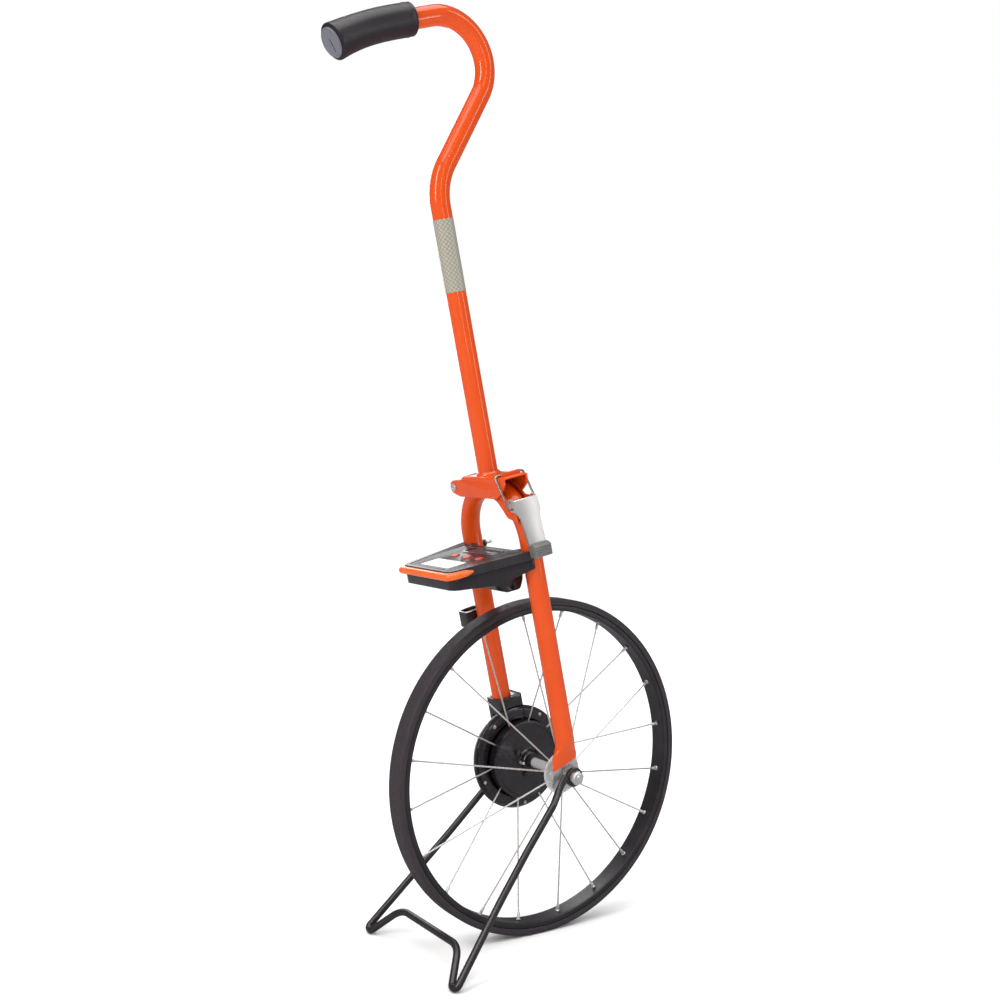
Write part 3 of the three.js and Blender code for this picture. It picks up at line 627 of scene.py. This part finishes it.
def axle_parts():
    """The axle, and at each side a nut with a sleeve for the stand's eye."""
    rod_profile = [(0, -75), (3.3, -75), (4, -74.2), (4, 82.2), (3.3, 83), (0, 83)]
    build("axle_shaft", lathe(rod_profile, 40), AXLE, "zinc", "frame", ["axle"])
    for name, node, flange, side in (("nut_near", "axle_nut_near", -58.3, -1),
                                     ("nut_far", "axle_nut_far", 66.3, 1)):
        y = lambda d: flange + side * d
        bush = [(4.2, y(0)), (8.8, y(0)), (9, y(0.4)), (9, y(1.7)), (8.7, y(2)), (6.6, y(2)),
                (6.6, y(9.4)), (4.2, y(9.4))]
        hexagon = [(8.3 * math.cos(math.radians(60 * k + 15)),
                    8.3 * math.sin(math.radians(60 * k + 15))) for k in range(6)]
        low, high = sorted((y(9.2), y(14.3)))
        nut = slab(hexagon, "y", low, high)
        dome = lathe([(4.2, y(14.1)), (7, y(14.1)), (6.2, y(15.2)), (4.2, y(15.6))], 40)
        build(name, merged(lathe(bush, 48), dome), AXLE, "zinc", "frame", [node])
        build(name + "_hex", nut, AXLE, "zinc", "frame", bevel=0.7,
              cuts=[rod((0, low - 2, 0), (0, high + 2, 0), 4.15, 32)])


# ---- fork -----------------------------------------------------------------------------------
def fork():
    """Fork tube, its flattened near end and plate, head bracket, fold pin and stand clip."""
    walk = stations([(0, LEG_Y, 63), (0, LEG_Y, ARCH_U + LEG_Y, LEG_Y),
                     (0, -LEG_Y, ARCH_U + LEG_Y, LEG_Y), (0, -LEG_Y, 44)], 5, 12)
    sides = 64
    outer = rings(walk, TUBE, sides)
    inner = rings(walk, TUBE_BORE, sides)[::-1]
    last, run = outer[-1]
    steps = [(41, -0.2, -58.25, 11.2, 10.6), (38, -0.7, -58.4, 11.6, 9.2),
             (35, -1.5, -58.7, 12.5, 7.3), (32, -2.8, -59.1, 13.9, 5.2),
             (29, -4.2, -59.5, 15.3, 3.3), (26.4, -5, -59.9, 16.3, 2.3),
             (24, -5.5, -60.1, 16.8, 1.9), (19, -6, -60.1, 16.6, 1.8), (16.5, -6, -60.1, 16.3, 1.6)]
    flats = []
    for u, v, y, wide, thick in steps:
        row = []
        for p in last:
            across, through = p.x / TUBE, (p.y + LEG_Y) / TUBE
            power = 1 - 0.45 * min(1, (44 - u) / 16)
            flat = math.copysign(abs(through) ** power, through)
            slope = across * 3.2 * max(0, (24 - u) / 8) if u < 24 else 0
            row.append(Vector((v + across * wide, y + flat * thick, u + slope)))
        flats.append((row, run + 44 - u))
    tool = [rod((-20, y, BOLT_U), (20, y, BOLT_U), 2.35, 24) for y in (-LEG_Y, LEG_Y)]
    build("fork_tube_painted", skin(inner + outer + flats), LEG, "paint", "frame", ["fork_tube"],
          cuts=tool, angle=45)
    plate = arc_corners([(-20, 24.4), (10, 24.4), (13, 12), (13.2, -8), (4, -14.6), (-8, -13),
                         (-27.4, -7), (-27.4, 13.5), (-21, 15)], 5, 5)
    tab = slab([(-27.4, -60.6), (-24.9, -60.6), (-24.9, -56), (-27.4, -56)], "z", -4.6, 12.6)
    build("dropout", slab(plate, "y", -57.9, -55.2), LEG, "zinc", "frame", ["dropout_plate"],
          joins=[tab], cuts=[rod((0, -70, 0), (0, -50, 0), 4.15, 40)], bevel=0.5)
    cheek = [(-62.9, 296), (-44, 300.7), (-36, 310.5), (-29, 318), (-20, 322.4), (42, 322.4),
             (52, 324.5), (58.2, 329), (58.2, 336), (53, 340), (48, 340.6), (30, 340), (-30, 337),
             (-41.5, 325.6), (-46.5, 321.5), (-58, 321.3), (-62.9, 318)]
    cheek = arc_corners(cheek, 3, 4)
    pin = rod((-20, *FOLD), (20, *FOLD), 3.2, 32)
    studs = [rod((s * 12, *LEVER_PIN), (s * 15.3, *LEVER_PIN), 1.8, 24) for s in (-1, 1)]
    build("head_bracket_plates", slab(cheek, "x", -13.6, -11.3), LEG, "paint", "frame",
          ["head_bracket"], joins=[slab(cheek, "x", 11.3, 13.6),
                                                   box(-13.6, 13.6, -62.9, -61.2, 306.2, 318),
                                                   *studs], cuts=[pin], bevel=0.6)
    profile = [(0, -17.5), (1.5, -17.6), (1.9, -18.4), (3.4, -18.4), (4.5, -17.6), (4.5, -16.8),
               (3, -16.7), (3, 16.7), (4.5, 16.8), (4.5, 17.6), (3.4, 18.4), (0, 18.4)]
    build("fold_pin", turned_at(profile, 40, (0, *FOLD), (1, 0, 0)), LEG, "zinc", "frame",
          ["hinge_pin"])
    section = [(3, 87.7), (-18, 87.7), (-21.9, 84), (-21.9, 66.1), (-5, 66.1), (-1, 69.6), (-1, 72),
               (-18, 72), (-19, 74), (-19, 83), (-17, 85.4), (0, 85.4), (1.6, 82.4), (3.9, 83.4)]
    build("stand_clip_moulded", slab(arc_corners(section, 1.6, 4), "z", 163.1, 181.9), LEG, "black",
          "frame", ["stand_clip"],
          cuts=[rod((0, LEG_Y, 150), (0, LEG_Y, 200), 11.3, 48)], bevel=0.9)


# ---- counter --------------------------------------------------------------------------------
def plan(offset, bend=9):
    """The counter's outline from above, grown by an offset."""
    half = [(-101 - offset, 50 + offset), (-4 + offset, 69.8 + offset), (-4 + offset, 44),
            (-11 + offset, 40)]
    return arc_corners(half + [(v, -y) for v, y in reversed(half)], [bend, 5, 2, 2, 2, 2, 5, bend],
                       6)


def underside(lift):
    """The sloping bottom of the lower case, from the side."""
    return [(-3.9, 244.7 + lift), (-46, 237 + lift), (-54, 237.3 + lift), (-101.5, 243.5 + lift)]


def legs_tool(radius):
    """Two rods where the legs pass through the counter."""
    return [rod((0, y, 215), (0, y, 275), radius, 48) for y in (-LEG_Y, LEG_Y)]


def lower_case():
    """Open tray with a sloping bottom and a mounting boss below it."""
    side = underside(0) + [(-103, 244), (-103, 254), (0, 254), (0, 244.9)]
    foot = [(-43, 247), (-42, 234), (-34, 222), (-14, 221), (-8, 232), (-8, 247)]
    hollow = underside(CASE_WALL) + [(-106, 246), (-106, 256), (2, 256), (2, 247)]
    body = in_leg(slab(plan(0), "z", 229, CASE_SEAM), "counter_lower_case")
    tools = [("INTERSECT", slab(side, "y", -78, 78)),
             ("UNION", slab(arc_corners(foot, [0, 4, 4, 4, 4, 0], 5), "y", -45, 45)),
             ("DIFFERENCE", rod((-24, -50, 226.5), (-24, -42.5, 226.5), 2.6, 24)),
             ("DIFFERENCE", slab([(-90.3, 240), (-63.7, 236), (-63.7, 240.6), (-90.3, 244.1)], "y",
                                 -22.3, 22.3))]
    tools += [("DIFFERENCE", t) for t in legs_tool(LEG_HOLE)]
    pocket = in_leg(slab(plan(-CASE_WALL), "z", 231, 256))
    inside = in_leg(slab(hollow, "y", -80, 80))
    pillars = [("DIFFERENCE", in_leg(t)) for t in legs_tool(PILLAR)]
    apply_tools(pocket, [("INTERSECT", inside)] + pillars)
    apply_tools(body, [(kind, in_leg(t)) for kind, t in tools] + [("DIFFERENCE", pocket)], 0.8)
    settle(body, "black", "frame", ["counter_base"])


def upper_case():
    """Lid with the openings for the window, keys, legs and bolts."""
    lid = in_leg(slab(plan(0), "z", CASE_SEAM + 0.25, CASE_TOP), "counter_upper_case")
    room = in_leg(slab(plan(-CASE_WALL), "z", 252, CASE_TOP - 2.5))
    apply_tools(room, [("DIFFERENCE", in_leg(t)) for t in legs_tool(PILLAR)])
    opening = arc_corners([(-34.3, -32.3), (-17.7, -32.3), (-17.7, 25.3), (-34.3, 25.3)], 5, 5)
    holes = [slab(opening, "z", 259, 270), slab(plan(-5.2, 6), "z", 263.6, 266)]
    holes += [rod((-50, y, 258), (-50, y, 270), 5.25, 32) for y in KEY_ROW] + legs_tool(LEG_HOLE)
    holes += [rod((-25, y, BOLT_U), (0, y, BOLT_U), 2.4, 20) for y in (-LEG_Y, LEG_Y)]
    apply_tools(lid, [("DIFFERENCE", room)] + [("DIFFERENCE", in_leg(t)) for t in holes], 0.8)
    settle(lid, "face", "frame", ["counter_top"])


def counter_face():
    """Window and its frame, display, digits, label and a thin lighter grey line round the top face."""
    bevelled = arc_corners([(-33.9, -31.9), (-18.1, -31.9), (-18.1, 24.9), (-33.9, 24.9)], 5, 5)
    build("counter_window_lens", slab(bevelled, "z", 262, 263.5), LEG, "window", "frame",
          ["counter_window"], bevel=0.3)
    edge = arc_corners([(-36.4, -34.4), (-15.8, -34.4), (-15.8, 27.4), (-36.4, 27.4)], 6, 5)
    build("window_frame", slab(edge, "z", 263.3, 264), LEG, "black", "frame",
          cuts=[slab(bevelled, "z", 262, 266)], bevel=0.25)
    build("counter_lcd_glass", box(-32.4, -19.6, -28, 21, 258.4, 261.2), LEG, "lcd", "frame",
          ["counter_lcd"], bevel=0.4)
    digits = []
    for k in range(5):
        y0 = -22 + 8.2 * k
        # the seven bars of a digit: its place across and along, and its half sizes
        for dy, dv, hy, hv in ((0, 0, 2.2, 0.45), (0, 4, 2.2, 0.45), (0, -4, 2.2, 0.45),
                               (2.5, 2, 0.45, 1.7), (2.5, -2, 0.45, 1.7), (-2.5, 2, 0.45, 1.7),
                               (-2.5, -2, 0.45, 1.7)):
            v, y = -26 + dv, y0 + dy
            digits.append(box(v - hv, v + hv, y - hy, y + hy, 261.15, 261.4))
    build("lcd_digits", merged(*digits), LEG, "black", "frame")
    build("face_label", slab(arc_corners([(-90, -29), (-66, -29), (-66, 29), (-90, 29)], 1.5, 4),
                             "z", 263.4, 263.75), LEG, "label", "frame",
          bevel=0.1)
    # a thin lighter grey line round the top face, about 7 mm in from its edge
    build("face_lines", slab(plan(-7, 6), "z", 263.5, 263.7), LEG, "grey_line", "frame",
          cuts=[slab(plan(-7.9, 5.5), "z", 263, 264)] + legs_tool(14))


def bumper_strip():
    """Round soft strip along the rear of the counter, tapering to its two ends."""
    rows = []
    for k in range(9):
        lean = math.radians(-80 + 20 * k)
        inset = BUMPER_ROUND * (1 - math.cos(lean))
        side = 58.3 - inset
        half = [(-74.2, 30), (-74.2, 56 - inset), (-94, side), (-108 + inset, 52.2 - 0.6 * inset),
                (-108 + inset, 21)]
        outline = arc_corners(half + [(v, -y) for v, y in reversed(half)],
                              [0, 2, 6, 9, 2, 2, 9, 6, 2, 0], 6)
        rows.append(([Vector((v, y, 259 + BUMPER_ROUND * math.sin(lean))) for v, y in outline], k))
    strip = in_leg(skin(rows), "counter_bumper_strip")
    trims = [slab(plan(0.15), "z", 250, 268),
             slab([(-73, 254), (-90, 254), (-73, 258.2)], "y", -70, 70),
             slab([(-73, 264), (-90, 264), (-73, 259.8)], "y", -70, 70)]
    apply_tools(strip, [("DIFFERENCE", in_leg(t)) for t in trims], 0.5)
    settle(strip, "bumper", "frame", ["counter_bumper"])


def keys_and_bolts():
    """Three keys, and the two bolts that hold the counter to the legs."""
    for i, y in enumerate(KEY_ROW):
        profile = arc_corners([(0, 258.7), (4.9, 258.7), (4.9, 263.7), (4.1, 264.55), (0, 264.55)],
                              [0, 0, 0.6, 1, 0], 4, False)
        verts, faces = lathe(profile, 48)
        verts = [(-50 + x, y - z, h) for x, h, z in verts]
        body_name = ("reset_key", "units_key", "power_key")[i]
        build(f"key_{i + 1}_cap", (verts, faces), LEG, "key", body_name, [f"key_{i + 1}"])
    for name, y in (("near", -LEG_Y), ("far", LEG_Y)):
        shank = turned_at([(0, -17.4), (2.6, -17.4), (3.1, -16.8), (3.1, -14.4), (2, -14.4),
                           (2, 23.9), (1.4, 24.5), (0, 24.5)], 32, (0, y, BOLT_U), (1, 0, 0))
        build(f"bolt_{name}", shank, LEG, "zinc", "frame", [f"counter_bolt_{name}"])
        hexagon = [(y + 4.6 * math.cos(math.radians(60 * k)),
                    BOLT_U + 4.6 * math.sin(math.radians(60 * k))) for k in range(6)]
        build(f"bolt_nut_{name}", slab(hexagon, "x", 11.5, 16), LEG, "black", "frame",
              bevel=0.6)


# ---- handle ---------------------------------------------------------------------------------
def handle_path(short=0.0, straight=14):
    """The pole's centreline, cut short at the grip's end."""
    run = stations([(0, 0, 346.2), (0, 0, 665.5, 68), (160.5, 0, 852.5, 51.5),
                    (-55.6, 0, 828.6, 320), (-93.1, 0, 815.3)], 3, straight)
    p, d = run[-1]
    run[-1] = (p - d * short, d)
    return run


def handle():
    """Gooseneck tube, reflective band, grip and end cap."""
    build("handle_tube_painted", pipe(handle_path(3), TUBE, TUBE_BORE, 64), LEG, "paint", "handle",
          ["handle_tube"])
    band = [(Vector((0, 0, u)), Vector((0, 0, 1))) for u in (548.7, 549.1, 600, 626.5, 626.9)]
    rows = rings(band, TUBE + 0.25, 64)
    inner = rings(band[::-1], TUBE + 0.02, 64)
    build("reflective_sleeve", skin(rows + inner, True), LEG, "tape", "handle", ["reflective_band"])

    back = [(p, -d) for p, d in handle_path(0, 2)[::-1]]
    path, left = [back[0]], GRIP_LENGTH
    for p, d in back[1:]:
        left -= (p - path[-1][0]).length
        if left < 0:
            break
        path.append((p, d))

    def outer(t, angle):
        flare = 2.0 * max(0, 1 - t / 48) ** 2
        roll = min(1, t / 2.2, (GRIP_LENGTH - t) / 1.9)
        roll = math.sqrt(max(0, 1 - (1 - max(roll, 0)) ** 2))
        bead = 0.35 * math.exp(-(((t - 93) / 1.3) ** 2)) - 0.5 * math.exp(-(((t - 96) / 0.9) ** 2))
        belly = 0.5 * math.sin(math.pi * min(1, t / GRIP_LENGTH)) * math.cos(angle) ** 2
        return (17.5 + flare + bead - belly) - 2.6 * (1 - roll)

    rows = rings(path, outer, 72)
    bore = rings(path, TUBE + 0.25, 72)[::-1]
    build("grip_moulded", skin(rows + bore, True), LEG, "grip", "handle", ["grip"],
          angle=40)
    end, along = path[0]
    outwards = -along
    dish = [(0, 0.35), (15.6, 0.35), (15.6, 1.3), (15.1, 2.1), (14.2, 2.1), (13.5, 1.4), (0, 1.4)]
    turn = Vector((0, 0, 1)).rotation_difference(outwards).to_matrix().to_4x4()
    spot = Matrix.Translation(end) @ turn
    verts, faces = slab([(-10.5, -0.8), (3.5, -0.8), (3.5, 0.8), (-10.5, 0.8)], "z", 0.2, 3)
    slit = ([tuple(spot @ Vector(v)) for v in verts], faces)
    build("grip_cap_disc", turned_at(dish, 64, end, outwards), LEG, "cap", "handle", ["grip_cap"],
          cuts=[slit])


def upper_bracket():
    """Inverted channel at the foot of the pole, with the lip that the bail hooks over."""
    side = arc_corners([(-52, 346), (-52, 337), (-47, 331), (-40, 326), (-34, 322), (40, 322),
                        (50, 324.4), (56.5, 327), (58.8, 332.6), (56.5, 338.2), (50, 340.8),
                        (34, 340.8), (29, 346)], 2.4, 4)
    section = arc_corners([(-16.5, 318), (16.5, 318), (16.5, 346), (-16.5, 346)], [0, 0, 4, 4], 6)
    inner = arc_corners([(-14, 315), (14, 315), (14, 343.5), (-14, 343.5)], [0, 0, 2, 2], 5)
    body = in_leg(slab(section, "y", -60, 62), "upper_channel")
    lip = slab([(-45.6, 344), (-43.2, 344), (-43, 349), (-43.8, 350), (-45.6, 349.4)], "x", -12, 12)
    tools = [("INTERSECT", slab(side, "x", -18, 18)), ("DIFFERENCE", slab(inner, "y", -70, 70)),
             ("DIFFERENCE", box(-14, 14, 29, 70, 315, 350)),
             ("DIFFERENCE", rod((-20, *FOLD), (20, *FOLD), 3.2, 32)), ("UNION", lip)]
    apply_tools(body, [(kind, in_leg(t)) for kind, t in tools], 0.7)
    settle(body, "paint", "handle", ["upper_bracket"])
    bead = [(10.9, 345.6), (14.2, 345.6), (13.6, 347.2), (12.4, 348.6), (11, 349.6)]
    verts, faces = lathe(arc_corners(bead, 0.8, 3), 64)
    verts = [(x * (1 + 0.012 * math.sin(9 * math.atan2(x, z))), -z, h) for x, h, z in verts]
    build("pole_weld", (verts, faces), LEG, "paint", "handle")


# ---- latch ----------------------------------------------------------------------------------
def latch():
    """Pressed lever, its finger grip and the wire bail."""
    outer_side = arc_corners([(-64.6, 321), (-74, 270), (-70, 270), (-64.4, 307.4), (-55, 308),
                              (-53, 311), (-51.8, 318), (-53, 321.8), (-56, 322.8)],
                             [1.5, 0.6, 0.6, 3, 2, 2, 2, 2, 2], 4)
    inner_side = [(-63.2, 324), (-72.7, 267), (-40, 267), (-40, 324)]

    def front(inset, grow):
        half = [(10.8 - inset, 270 - grow), (12.4 - inset, 300), (15.3 - inset, 306.5),
                (15.3 - inset, 324 + grow)]
        return half + [(-v, u) for v, u in reversed(half)]

    body = in_leg(slab(outer_side, "x", -16, 16), "lever_pressed")
    hollow = in_leg(slab(inner_side, "x", -16, 16))
    apply_tools(hollow, [("INTERSECT", in_leg(slab(front(1.3, 5), "y", -80, -30)))])
    holes = [rod((-20, *LEVER_PIN), (20, *LEVER_PIN), 2, 24),
             rod((-20, *BAIL_EYE), (20, *BAIL_EYE), 1.55, 20)]
    tools = [("INTERSECT", in_leg(slab(front(0, 0), "y", -80, -30))), ("DIFFERENCE", hollow)]
    apply_tools(body, tools + [("DIFFERENCE", in_leg(h)) for h in holes], 0.45)
    settle(body, "steel", "lever", ["latch_lever"])

    face = [(-83 + 1.2 * (k % 2), 258.4 + 1.3 * k) for k in range(10)]
    outline = [(-70.4, 269.6), (-70.4, 258.5), (-72, 257), (-80.5, 257)] + face
    outline += [(-79, 271.5), (-74.6, 272.4), (-74.6, 269.6)]
    build("lever_finger_grip", slab(outline, "x", -10.9, 10.9), LEG, "grey", "lever",
          ["latch_grip"], bevel=0.5)
    path = stations([(-15.7, *BAIL_EYE), (-19, *BAIL_EYE, 2), (-19, *BAIL_BAR, 3),
                     (19, *BAIL_BAR, 3), (19, *BAIL_EYE, 2), (15.7, *BAIL_EYE)], 10)
    build("bail_wire", skin(rings(path, 1.25, 20)), LEG, "bail", "bail", ["latch_bail"])


def stand():
    """One bent wire with thin ends, and the eye at each end."""
    down = math.radians(42)
    along = Vector((-math.sin(down), 0, -math.cos(down)))
    rear = Vector((-math.cos(down), 0, math.sin(down)))

    def place(a, o, y, bend=0):
        p = along * a + rear * o
        return (p.x, y, p.z, bend)

    corners = [(6.5, 9.6, STAND_EYES["near"]), (20, 9, -66, 20), (42, 10, -75.2, 20),
               (100, 6.3, -77.4, 200), (160, 1, -80.5, 150), (STAND_TOE, 0, -99, 4.4),
               (STAND_TOE, 0, -89.8, 4.4), (218.5, 0, -61.5, 26), (218.5, 0, 60, 26),
               (STAND_TOE, 0, 85.8, 4.4), (STAND_TOE, 0, 95, 4.4), (115, -3, 75.2, 120),
               (26, -9.4, 73, 60), (6.5, -9.6, STAND_EYES["far"])]
    path = stations([place(*corner) for corner in corners], 5, 4)
    length = sum((b[0] - a[0]).length for a, b in zip(path, path[1:]))

    def radius(travelled, angle):
        from_end = min(travelled, length - travelled)
        thin = min(4, 2.7 + max(0, from_end - 12) * 0.12)
        wide = 4.4 + (4 - 4.4) * min(1, from_end / 30)
        return math.hypot(thin * math.cos(angle), wide * math.sin(angle))

    build("stand_wire", skin(rings(path, radius, 36)), AXLE, "wire", "stand_wire", ["stand"])
    for name, y in STAND_EYES.items():
        flat = [(6.95, y - 2.7), (10.8, y - 2.7), (10.8, y + 2.7), (6.95, y + 2.7)]
        build(f"stand_eye_{name}", lathe(arc_corners(flat, 1.2, 4), 72), AXLE, "wire", "stand_wire")


def inner_pieces():
    """Materials of the CAD nodes that stay, inside the hub, housing and counter."""
    looks = {"bearing_near": "steel", "bearing_far": "steel", "magnet_ring": "magnet",
             "sensor_board": "board", "counter_board": "board", "battery": "battery",
             "battery_cover": "black"}
    for node, look in looks.items():
        mesh = NODES[node].data
        mesh.materials.clear()
        mesh.materials.append(M[look].m)


# ---- stage ----------------------------------------------------------------------------------
def area(name, at, aim, size, power, color=(1, 1, 1)):
    lamp = bpy.data.lights.new(name, "AREA")
    lamp.shape = "RECTANGLE"
    lamp.size, lamp.size_y = size
    lamp.energy = power
    lamp.color = color
    ob = bpy.data.objects.new(name, lamp)
    ob.location = at
    ob.rotation_euler = (Vector(aim) - Vector(at)).to_track_quat("-Z", "Y").to_euler()
    bpy.context.scene.collection.objects.link(ob)


def stage():
    bm = bmesh.new()
    bmesh.ops.create_circle(bm, cap_ends=True, segments=128, radius=80)
    floor = put(bm, "floor")
    floor.location = (0, 0, -0.0004)
    pale = Mat("floor_pale", (0.93, 0.93, 0.93), 0.9)
    pale.tint(pale.noise(0.7, 2), (0.95, 0.95, 0.95))
    pale.p.inputs["Specular IOR Level"].default_value = 0.1
    # painted shade: reflected rays see the floor in a darker colour than the camera does, so the
    # reflections of the floor on the object are painted darker
    glossy = pale.node("ShaderNodeLightPath").outputs["Is Glossy Ray"]
    colour = pale.p.inputs["Base Color"].links[0].from_socket
    pale.l.new(pale.mix(glossy, colour, (0.24, 0.235, 0.25)), pale.p.inputs["Base Color"])
    floor.data.materials.append(pale.m)
    world = bpy.data.worlds.new("studio")
    bpy.context.scene.world = world
    world.use_nodes = True
    nodes, links = world.node_tree.nodes, world.node_tree.links
    back = nodes["Background"]
    back.inputs["Strength"].default_value = 1.0
    back.inputs["Color"].default_value = (1, 1, 1, 1)
    path = nodes.new("ShaderNodeLightPath")
    last = back
    for ray, color, strength in (("Is Diffuse Ray", (0.93, 0.95, 1, 1), 0.38),
                                 ("Is Glossy Ray", (0.95, 0.94, 1, 1), 0.16)):
        soft = nodes.new("ShaderNodeBackground")
        soft.inputs["Color"].default_value = color
        soft.inputs["Strength"].default_value = strength
        mix = nodes.new("ShaderNodeMixShader")
        links.new(path.outputs[ray], mix.inputs["Fac"])
        links.new(last.outputs[0], mix.inputs[1])
        links.new(soft.outputs[0], mix.inputs[2])
        last = mix
    links.new(last.outputs[0], nodes["World Output"].inputs["Surface"])
    sun = bpy.data.lights.new("overhead", "SUN")
    sun.energy = 2.6
    sun.angle = math.radians(70)
    ob = bpy.data.objects.new("overhead", sun)
    ob.rotation_euler = (math.radians(6), math.radians(-8), 0)
    bpy.context.scene.collection.objects.link(ob)
    area("key", (-2.6, -0.6, 1.7), (-0.05, 0, 0.5), (0.5, 2.2), 38, (1, 0.92, 0.8))
    area("rim_light", (1.5, -1.9, 1.5), (-0.05, 0, 0.5), (0.3, 2.8), 12)
    area("front_strip", (-0.9, -2.8, 1.5), (-0.05, 0, 0.5), (0.16, 2.6), 8)
    area("back_fill", (0.6, 2.6, 1.4), (0, 0, 0.5), (1.2, 2.4), 26)


def camera():
    place = (-0.8412, -1.154, 0.5496)
    azimuth, elevation, roll = math.radians(-33.93), math.radians(2.0), math.radians(1.328)
    back = Vector((math.sin(azimuth) * math.cos(elevation),
                   -math.cos(azimuth) * math.cos(elevation), math.sin(elevation)))
    right0 = Vector((math.cos(azimuth), math.sin(azimuth), 0))
    up0 = back.cross(right0)
    right = right0 * math.cos(roll) + up0 * math.sin(roll)
    up = up0 * math.cos(roll) - right0 * math.sin(roll)
    data = bpy.data.cameras.new("camera")
    data.lens = 44.64
    data.sensor_width = 36
    ob = bpy.data.objects.new("camera", data)
    turn = Matrix((right, up, back)).transposed().to_4x4()
    ob.matrix_world = Matrix.Translation(place) @ turn
    bpy.context.scene.collection.objects.link(ob)
    bpy.context.scene.camera = ob


wheel()
hub()
housing()
axle_parts()
fork()
lower_case()
upper_case()
counter_face()
bumper_strip()
keys_and_bolts()
handle()
upper_bracket()
latch()
stand()
inner_pieces()
stage()
camera()
bpy.context.scene.view_settings.view_transform = "Standard"
bpy.context.view_layer.update()
